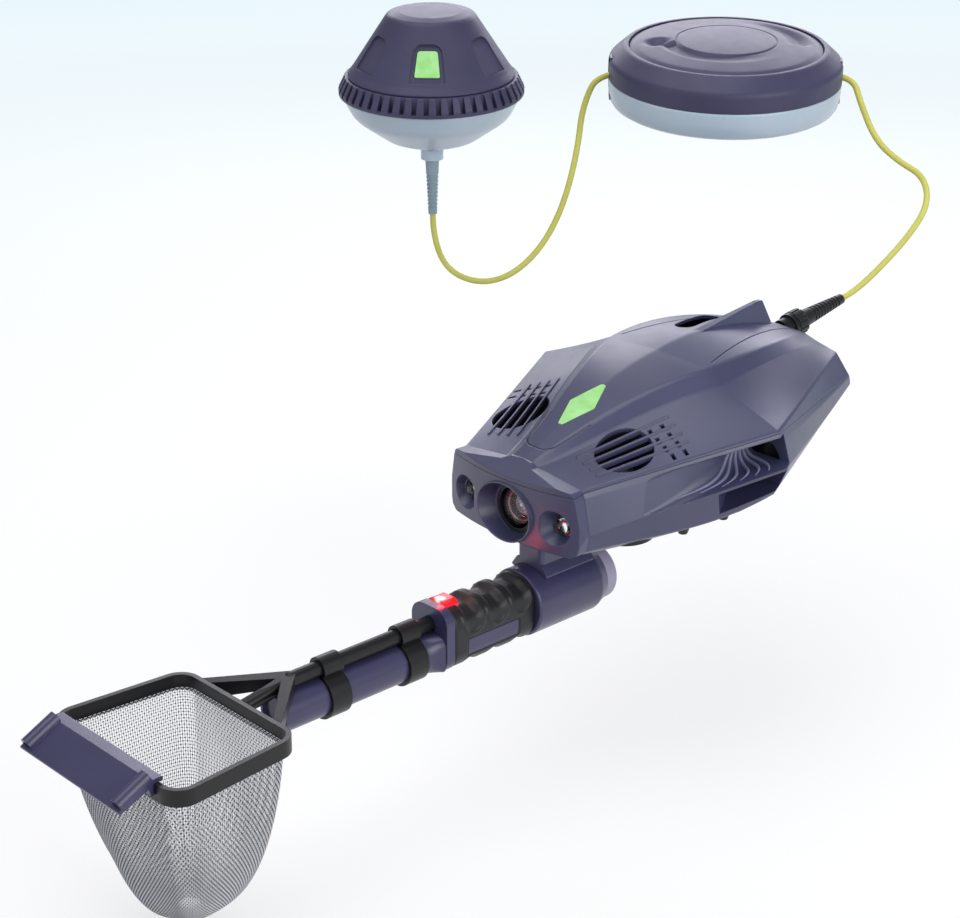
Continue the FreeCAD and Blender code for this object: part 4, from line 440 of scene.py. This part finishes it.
def winder_drum(finishes):
    """Deep pale lower shell of the winder, with its two cable slots."""
    turns = [step * 3.0 for step in range(120)]
    turns = [turn for turn in turns
             if all(off_slot(turn, slot) > DRUM_HALF_SLOT + 0.6 for slot in DRUM_SLOTS)]
    turns = sorted(turns + [slot % 360 + side * DRUM_HALF_SLOT for slot in DRUM_SLOTS for side in (-1, 1)])
    # Radius and height, from the rim down the wall and round to the bottom's middle.
    profile = [(74.9, -0.1), (74.9, -1.5), (74.5, -8.0), (73.6, -13.8), (72.0, -16.4), (69.0, -18.3),
               (64.0, -19.4), (50.0, -20.4), (30.0, -21.0), (12.0, -21.3)]
    place = float_place()
    points = []
    for radius, height in profile:
        for turn in turns:
            angle = math.radians(turn)
            spot = (radius * math.cos(angle), radius * math.sin(angle), height)
            points.append(place @ Vector(metres(spot)))
    count = len(turns)
    faces = []
    for face in ring_faces(len(profile), count):
        first, second = turns[face[0] % count], turns[face[1] % count]
        gap = any(off_slot(first, slot) < DRUM_HALF_SLOT + 0.1 and
                  off_slot(second, slot) < DRUM_HALF_SLOT + 0.1 for slot in DRUM_SLOTS)
        if not (gap and face[0] // count < DRUM_SLOT_RINGS):
            faces.append(face)
    faces.append(tuple(range((len(profile) - 1) * count, len(profile) * count)))
    piece = new_piece("winder_drum", mesh_from("winder_drum", points, faces), finishes["float_pale"],
                      "vehicle")
    wall = piece.modifiers.new("wall", "SOLIDIFY")
    wall.thickness = WINDER_WALL * MM
    wall.offset = 1.0
    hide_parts("winder_base")
    return piece


def dial_height(radius, turn):
    """Height of the dial over its rim, in millimetres; turn starts at the float's right-hand side."""
    height = DIAL_CROWN * (1 - (radius / DIAL_RADIUS) ** 2) - 1.1 * eased((radius - 57.0) / 5.0)
    # Narrow seam round the hub disc.
    if HUB_SEAM[0] < radius < HUB_SEAM[1]:
        height -= 0.9
    # Thumb dimple.
    x, y = radius * math.cos(turn), radius * math.sin(turn)
    height -= DIMPLE_DEPTH * (1 - eased(math.hypot(x + DIMPLE_OUT, (y - 1.0) * 1.05) / DIMPLE_RADIUS))
    # Groove that runs out of the dimple and fades over 150 degrees.
    sweep = (math.degrees(turn) - 180.0) % 360.0
    if sweep < 150.0 and radius > HUB_SEAM[1]:
        strength = 3.0 * (1 - sweep / 150.0) ** 1.2
        height -= strength * (1 - eased(abs(radius - 36.5) / 7.0 - 0.1))
    # Second groove, further out and deepest near its start.
    ahead = math.degrees(turn) % 360.0
    if ahead < 100.0 or ahead > 350.0:
        along = (ahead + 10.0) % 360.0
        deep = 3.6 * eased(along / 12.0) * (1 - eased((along - 14.0) / 85.0))
        height -= deep * (1 - eased(abs(radius - 47.0) / 7.5 - 0.15))
    return height


def winder_dial(finishes):
    """Turning dial: a crowned disc with a thumb dimple and two swept grooves."""
    place = float_place()
    facing = math.radians(WINDER_TURN)
    # Rings 1 mm apart, closer at the seam and at the rim.
    radii = [0.1] + [1.0 + step for step in range(30)] + [31.8, 32.1, 32.7, 33.0]
    radii += [33.6 + step for step in range(28)] + [61.4, 61.9]
    points = []
    for radius in radii:
        for step in range(DIAL_COUNT):
            turn = math.tau * step / DIAL_COUNT
            height = WINDER_TOP + dial_height(radius, turn)
            spot = (radius * math.cos(turn + facing), radius * math.sin(turn + facing), height)
            points.append(place @ Vector(metres(spot)))
    edge = ((DIAL_RADIUS, WINDER_TOP - 2.0), (DIAL_RADIUS, WINDER_TOP - 4.0), (12.0, WINDER_TOP - 4.0))
    for radius, height in edge:
        for step in range(DIAL_COUNT):
            turn = math.tau * step / DIAL_COUNT + facing
            points.append(place @ Vector(metres((radius * math.cos(turn), radius * math.sin(turn), height))))
    faces = ring_faces(len(radii) + len(edge), DIAL_COUNT)
    faces.append(tuple(range(DIAL_COUNT)))
    piece = new_piece("winder_turning_dial", mesh_from("winder_turning_dial", points, faces),
                      finishes["float_navy"], "reel")
    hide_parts("winder_dial")
    return piece


def rounded_ring(half_x, half_z, radius, step):
    """Even points round a rounded rectangle, each with its outward direction."""
    ring = []
    centres = ((half_x - radius, half_z - radius), (-half_x + radius, half_z - radius),
               (-half_x + radius, -half_z + radius), (half_x - radius, -half_z + radius))
    for corner, (x, z) in enumerate(centres):
        bends = max(4, round(radius * math.pi / 2 / step))
        for bend in range(bends + 1):
            angle = math.pi / 2 * (corner + bend / bends)
            ring.append((x + radius * math.cos(angle), z + radius * math.sin(angle),
                         math.cos(angle), math.sin(angle)))
        after = centres[(corner + 1) % 4]
        angle = math.pi / 2 * (corner + 1)
        start = (x + radius * math.cos(angle), z + radius * math.sin(angle))
        end = (after[0] + radius * math.cos(angle), after[1] + radius * math.sin(angle))
        parts = max(1, round(math.dist(start, end) / step))
        for part in range(1, parts):
            ring.append((start[0] + (end[0] - start[0]) * part / parts,
                         start[1] + (end[1] - start[1]) * part / parts, math.cos(angle), math.sin(angle)))
    return ring


def grip_sink(y, z, side):
    """Depth under the plain sleeve, in millimetres: y from the front end, z from the middle height."""
    sink = 0.0
    for finger in FINGERS:
        # Scallop on the upper side, with a raised rim round its lower end.
        away = math.hypot(y - finger, min(0.0, z - 9.2))
        deep = 0.9 + 1.9 * eased((z - 10.0) / 7.0)
        sink += deep * (1 - eased((away - 2.0) / 5.4))
        if z < 14.0:
            sink -= 0.55 * math.exp(-((away - 7.2) / 0.8) ** 2)
        # Shallower scallop on the underside.
        under = math.hypot(y - finger, max(0.0, z + 17.3))
        sink += 1.9 * (1 - eased((under - 1.5) / 4.2))
    # Flat recess on each side, where a bare panel sits.
    if side > 0.9:
        inside = min(y - 9.6, 48.4 - y, z + 10.9, -0.6 - z)
        sink = sink * (1 - eased(inside / 1.2 + 1.0)) + 1.1 * eased(inside / 0.8 + 0.5)
    return sink


def finger_grip(finishes):
    """Rubber sleeve with finger scallops that end in raised rims on its sides."""
    low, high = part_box("grip_sleeve")
    half_x = (high.x - low.x) / 2 / MM
    front, back = low.y / MM, high.y / MM
    middle = high.z / MM - GRIP_HALF_HEIGHT
    ring = rounded_ring(half_x, GRIP_HALF_HEIGHT, GRIP_CORNER, 0.8)
    stations = [front + (back - front) * step / 100 for step in range(101)]
    points = []
    for station in stations:
        # Both ends close with a small round.
        edge = min(station - front, back - station)
        close = 1.2 * (1 - math.sqrt(max(0.0, 1 - (1 - min(1.0, edge / 1.5)) ** 2)))
        for x, z, out_x, out_z in ring:
            sink = close + grip_sink(station - front, z, abs(out_x))
            points.append(metres((x - out_x * sink, station, middle + z - out_z * sink)))
    faces = ring_faces(len(stations), len(ring))
    faces.append(tuple(range(len(ring))))
    faces.append(tuple(range(len(points) - len(ring), len(points))))
    piece = new_piece("finger_grip", mesh_from("finger_grip", points, faces), finishes["black_rubber"],
                      "vehicle")
    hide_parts("grip_sleeve")
    return piece


def tube_neck(finishes):
    """Flared shoulder where the painted tube leaves the grip's front plate."""
    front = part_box("arm_flange")[0].y / MM
    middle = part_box("arm_tube")[0].z / MM + TUBE_RADIUS
    points = []
    rings = 18
    for step in range(rings):
        share = step / (rings - 1)
        flare = (1 - share) ** 2.4
        # Squared section at the plate, round at the tube.
        power = 2 + 2.2 * flare
        half_x = TUBE_RADIUS + 0.25 + 2.4 * flare
        for turn in range(ROUND_COUNT):
            angle = math.tau * turn / ROUND_COUNT
            x = math.copysign(abs(math.cos(angle)) ** (2 / power), math.cos(angle)) * half_x
            z = math.copysign(abs(math.sin(angle)) ** (2 / power), math.sin(angle)) * (TUBE_RADIUS + 0.2)
            points.append(metres((x, front + 0.3 - NECK_LENGTH * share, middle + z)))
    return new_piece("tube_neck", mesh_from("tube_neck", points, ring_faces(rings, ROUND_COUNT)),
                     finishes["arm_paint"], "vehicle")


def objective(finishes):
    """Camera objective: stepped black cell, a coloured ring and a domed front glass."""
    low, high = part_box("camera_lens")
    middle = (low + high) / 2
    front = low.y / MM
    # Radius and depth behind the front, from the outside in; the glass starts at the eleventh ring.
    profile = [(9.8, 5.8), (9.8, 0.5), (9.4, 0.1), (8.9, 0.4), (8.7, 1.2), (7.9, 1.5), (7.7, 2.2),
               (7.0, 2.4), (6.8, 3.1), (6.1, 3.3), (5.9, 3.0), (5.0, 2.4), (3.8, 1.9), (2.4, 1.5),
               (1.2, 1.35), (0.2, 1.3)]
    glass_radius = profile[10][0] * MM
    ring_inner, ring_outer = 7.85 * MM, 8.75 * MM
    points = []
    for radius, back in profile:
        for step in range(ROUND_COUNT):
            angle = math.tau * step / ROUND_COUNT
            points.append(metres((middle.x / MM + radius * math.cos(angle), front + back,
                                  middle.z / MM + radius * math.sin(angle))))
    faces = ring_faces(len(profile), ROUND_COUNT)
    faces.append(tuple(range(len(points) - ROUND_COUNT, len(points))))
    mesh = mesh_from("objective", points, faces)
    piece = new_piece("objective", mesh, finishes["black_plastic"], "vehicle")
    piece.data.materials.append(finishes["objective"])
    for polygon in mesh.polygons:
        distance = math.hypot(polygon.center.x - middle.x, polygon.center.z - middle.z)
        if distance < glass_radius or ring_inner < distance < ring_outer:
            polygon.material_index = 1
    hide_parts("camera_lens")
    return piece


def skin_of(*names):
    """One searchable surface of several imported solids."""
    points, faces = [], []
    for name in names:
        mesh = frame["nodes"][name].data
        start = len(points)
        points.extend(vertex.co.copy() for vertex in mesh.vertices)
        faces.extend([start + index for index in polygon.vertices] for polygon in mesh.polygons)
    return BVHTree.FromPolygons(points, faces)


def scoop_ribs(side, skin, finishes):
    """Fine ribs that sweep off the scoop's ledge and up its back wall, into the thruster."""
    name = "port" if side > 0 else "starboard"
    curve = bpy.data.curves.new("scoop_ribs_" + name, "CURVE")
    curve.dimensions = "3D"
    curve.bevel_depth = RIB_RADIUS * MM
    curve.bevel_resolution = 4
    curve.use_fill_caps = True
    for start, end in RIB_SPANS:
        line = []
        for step in range(RIB_STEPS):
            share = step / (RIB_STEPS - 1)
            y = start + (end - start) * (1 - (1 - share) ** 1.35)
            # The ledge climbs 24.2 mm over the 108 mm between the nose and the widest line.
            ledge = -27.2 + 24.2 * (y + 110) / 108
            lip = skin.ray_cast(Vector(metres((side * 130, y, ledge - 0.9))), Vector((-side, 0, 0)))[0]
            if lip is None:
                continue
            # The search swings from nearly straight down on the ledge to inward and up on the back wall.
            tilt = math.radians(-78 + 118 * share)
            origin = Vector((lip.x - side * 3.0 * MM, y * MM, (ledge + 5.5) * MM))
            spot = skin.ray_cast(origin, Vector((-side * math.cos(tilt), 0, math.sin(tilt))))[0]
            if spot is not None:
                line.append((spot, 0.25 + 0.75 * eased(share / 0.5)))
        if len(line) < 6:
            continue
        spline = curve.splines.new("POLY")
        spline.points.add(len(line) - 1)
        for point, (spot, width) in zip(spline.points, line):
            point.co = (*spot, 1.0)
            point.radius = width
    piece = new_piece("scoop_ribs_" + name, curve, finishes["duct_plastic"], "vehicle")
    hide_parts("scoop_vanes_" + name)
    return piece


def strip_outline(count):
    """Even points round the inside of the net frame, anticlockwise from its rear starboard corner."""
    low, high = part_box("net_frame")
    front_half = high.x
    back_half = front_half - FRAME_TAPER
    inner = STRIP_THICKNESS + 0.5 * MM
    corners = [(-back_half + inner, high.y - inner), (-front_half + inner * 1.1, low.y + inner),
               (front_half - inner * 1.1, low.y + inner), (back_half - inner, high.y - inner)]
    dense = []
    for index, corner in enumerate(corners):
        here = Vector(corner)
        before = (Vector(corners[index - 1]) - here).normalized()
        after = (Vector(corners[(index + 1) % 4]) - here).normalized()
        half = (math.pi - before.angle(after)) / 2
        start = here + before * STRIP_CORNER * math.tan(half)
        centre = here + (before + after).normalized() * STRIP_CORNER / math.cos(half)
        first = start - centre
        sweep = 2 * half
        for step in range(9):
            turn = sweep * step / 8
            dense.append(centre + Vector((first.x * math.cos(turn) - first.y * math.sin(turn),
                                          first.x * math.sin(turn) + first.y * math.cos(turn))))
    dense.append(dense[0])
    lengths = [0.0]
    for a, b in zip(dense, dense[1:]):
        lengths.append(lengths[-1] + (b - a).length)
    points = []
    span = 0
    for index in range(count):
        want = lengths[-1] * index / count
        while lengths[span + 1] < want:
            span += 1
        share = (want - lengths[span]) / (lengths[span + 1] - lengths[span])
        points.append(dense[span].lerp(dense[span + 1], share))
    return points


def landing_net(finishes):
    """Netting that hangs from the frame and gathers to a rounded bottom, as real threads."""
    low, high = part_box("net_frame")
    middle = Vector(((low.x + high.x) / 2, (low.y + high.y) / 2))
    top = low.z + 2.5 * MM
    outline = strip_outline(NET_COLUMNS)
    draw = random.Random(NET_SEED)
    ripple = [draw.uniform(0, math.tau) for _ in range(4)]
    mesh = bmesh.new()
    dark_crossings = mesh.verts.layers.float.new("dark_crossing")
    rows = []
    for row in range(NET_ROWS + 1):
        share = row / NET_ROWS
        # The bag drops fast at first, then gathers in to a small hole at the bottom.
        angle = share * math.pi / 2 * 0.985
        drop = math.sin(angle) ** 1.15
        width = math.cos(angle) ** 0.55
        ring = []
        for index, point in enumerate(outline):
            # Each row turns from the frame's outline to a round one.
            arm = point - middle
            round_arm = arm.normalized() * (high.y - low.y) / 2 * 1.08
            reach = arm.lerp(round_arm, min(1.0, share * 1.15) ** 1.5)
            turn = math.tau * index / NET_COLUMNS
            # Slow ripples, strongest half-way down.
            sag = 1 + 0.010 * math.sin(3 * turn + ripple[0]) * math.sin(math.pi * share)
            sag += 0.008 * math.sin(7 * turn + ripple[1] + 4 * share) * math.sin(math.pi * share)
            place = middle + reach * width * sag
            wave = 0.5 * MM * math.sin(5 * turn + ripple[2]) * share
            vertex = mesh.verts.new((place.x, place.y + 1.5 * MM * share, top - NET_DEPTH * drop + wave))
            # Every second crossing is drawn black.
            vertex[dark_crossings] = (row + index) % 2
            ring.append(vertex)
        rows.append(ring)
    for upper, lower in zip(rows, rows[1:]):
        for index in range(NET_COLUMNS):
            following = (index + 1) % NET_COLUMNS
            mesh.faces.new((upper[index], upper[following], lower[following], lower[index]))
    data = bpy.data.meshes.new("netting")
    mesh.to_mesh(data)
    mesh.free()
    piece = new_piece("netting", data, finishes["net_mesh"], "net")
    threads = piece.modifiers.new("threads", "WIREFRAME")
    threads.thickness = NET_THREAD
    threads.use_even_offset = False
    threads.use_relative_offset = False
    threads.use_replace = True
    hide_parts("net_bag")
    return piece


# ---------------------------------------------------------------- studio
def set_stage():
    """Pale floor: near white where it is looked at, duller where it only bounces light."""
    floor_level = cad_low.z - FLOOR_DROP
    mesh = bpy.data.meshes.new("studio_floor")
    sides = ((-1, -1), (1, -1), (1, 1), (-1, 1))
    corners = [(x * FLOOR_REACH, y * FLOOR_REACH, floor_level) for x, y in sides]
    mesh.from_pydata(corners, [], [(0, 1, 2, 3)])
    floor = bpy.data.objects.new("studio_floor", mesh)
    bpy.context.scene.collection.objects.link(floor)
    material, tree, output = blank("matt_floor_paint")
    where = add(tree, "ShaderNodeTexCoord").outputs["Object"]
    away = add(tree, "ShaderNodeVectorMath", {"operation": "LENGTH"}, {0: where})
    share = add(tree, "ShaderNodeMapRange", {"From Min": 0.5, "From Max": 3.0},
                {"Value": away.outputs["Value"]})
    tint = add(tree, "ShaderNodeValToRGB", {}, {"Fac": share.outputs["Result"]})
    tint.color_ramp.elements[0].color = srgb("#FFFFFF")
    tint.color_ramp.elements[1].color = srgb("#E6F6FD")
    paint = add(tree, "ShaderNodeBsdfDiffuse", {}, {"Color": tint.outputs["Color"]})
    glow = add(tree, "ShaderNodeEmission", {"Strength": 1.0}, {"Color": tint.outputs["Color"]})
    even = add(tree, "ShaderNodeMapRange", {"From Min": 0.5, "From Max": 2.2, "To Min": 0.62, "To Max": 1.0},
               {"Value": away.outputs["Value"]})
    bright = add(tree, "ShaderNodeMixShader", {},
                 {"Fac": even.outputs["Result"], 1: paint.outputs["BSDF"], 2: glow.outputs["Emission"]})
    dull = add(tree, "ShaderNodeBsdfDiffuse", {"Color": srgb("#9C9EA6")})
    both = add(tree, "ShaderNodeMixShader", {},
               {"Fac": looked_at(tree), 1: dull.outputs["BSDF"], 2: bright.outputs["Shader"]})
    tree.links.new(both.outputs["Shader"], output.inputs["Surface"])
    floor.data.materials.append(material)


def looked_at(tree):
    """One for the rays that see a thing: straight, mirrored or through glass."""
    path = add(tree, "ShaderNodeLightPath")
    mirrored = add(tree, "ShaderNodeMath", {"operation": "MAXIMUM"},
                   {0: path.outputs["Is Camera Ray"], 1: path.outputs["Is Glossy Ray"]})
    seen = add(tree, "ShaderNodeMath", {"operation": "MAXIMUM"},
               {0: mirrored.outputs[0], 1: path.outputs["Is Transmission Ray"]})
    return seen.outputs[0]


def set_world():
    """Even pale studio light, with a bright backdrop behind what is looked at."""
    world = bpy.data.worlds.new("studio")
    bpy.context.scene.world = world
    world.use_nodes = True
    tree = world.node_tree
    tree.nodes.clear()
    path = add(tree, "ShaderNodeLightPath")
    seen = add(tree, "ShaderNodeMath", {"operation": "MAXIMUM"},
               {0: path.outputs["Is Camera Ray"], 1: path.outputs["Is Transmission Ray"]})
    strength = add(tree, "ShaderNodeMapRange", {"To Min": WORLD_STRENGTH, "To Max": 1.0},
                   {"Value": seen.outputs[0]})
    sky = add(tree, "ShaderNodeBackground", {"Color": srgb("#F2F7FC")},
              {"Strength": strength.outputs["Result"]})
    add(tree, "ShaderNodeOutputWorld", {}, {"Surface": sky.outputs["Background"]})


def soft_light(name, place, target, size, power, colour="#FFFFFF"):
    """One soft box, turned to its target."""
    lamp = bpy.data.lights.new(name, "AREA")
    lamp.shape = "RECTANGLE"
    lamp.size, lamp.size_y = size
    lamp.energy = power
    lamp.color = srgb(colour)[:3]
    holder = bpy.data.objects.new(name, lamp)
    bpy.context.scene.collection.objects.link(holder)
    holder.location = place
    holder.rotation_euler = (Vector(target) - Vector(place)).to_track_quat("-Z", "Y").to_euler()


def beacon_glow():
    """Red light that the beacon throws on the grip and the pylon."""
    low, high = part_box("grip_lamp")
    lamp = bpy.data.lights.new("beacon_glow", "POINT")
    lamp.shadow_soft_size = 3 * MM
    lamp.energy = 0.014
    lamp.color = srgb("#FF2030")[:3]
    holder = bpy.data.objects.new("beacon_glow", lamp)
    bpy.context.scene.collection.objects.link(holder)
    holder.location = ((low.x + high.x) / 2, (low.y + high.y) / 2, high.z + 6 * MM)


def set_camera():
    """Long lens at the object's three-quarter front view."""
    camera = bpy.data.cameras.new("camera")
    camera.lens = CAMERA_LENS_MM
    camera.sensor_width = 36.0
    camera.sensor_fit = "HORIZONTAL"
    camera.clip_end = 60.0
    holder = bpy.data.objects.new("camera", camera)
    bpy.context.scene.collection.objects.link(holder)
    holder.location = CAMERA_PLACE
    holder.rotation_euler = (math.radians(90 - VIEW_ELEVATION), 0, math.radians(VIEW_AZIMUTH))
    bpy.context.scene.camera = holder


set_camera()
set_stage()
set_world()
soft_light("side_box", (1.5, -0.1, 0.55), (0, 0, 0), (1.3, 1.0), 14.0)
soft_light("top_box", (-0.2, -0.3, 1.6), (0, 0, 0), (1.5, 1.5), 13.0)
soft_light("rear_box", (-1.05, 1.2, 0.75), (0, 0, 0.02), (1.8, 0.8), 17.0, "#F6F4FF")
soft_light("front_fill", (-0.5, -1.6, 0.3), (0, 0, 0), (1.2, 1.0), 3.5)
beacon_glow()
bpy.context.scene.view_settings.view_transform = "Standard"

finishes = make_materials()
finish_cad_nodes(finishes)
tether("tether_to_vehicle", TETHER_LOWER, "tether_lower", finishes)
tether("tether_to_buoy", TETHER_UPPER, "tether_upper", finishes)
landing_net(finishes)
winder_drum(finishes)
winder_dial(finishes)
finger_grip(finishes)
tube_neck(finishes)
objective(finishes)
hull_skin = skin_of("lower_hull", "top_hood")
scoop_ribs(1, hull_skin, finishes)
scoop_ribs(-1, hull_skin, finishes)
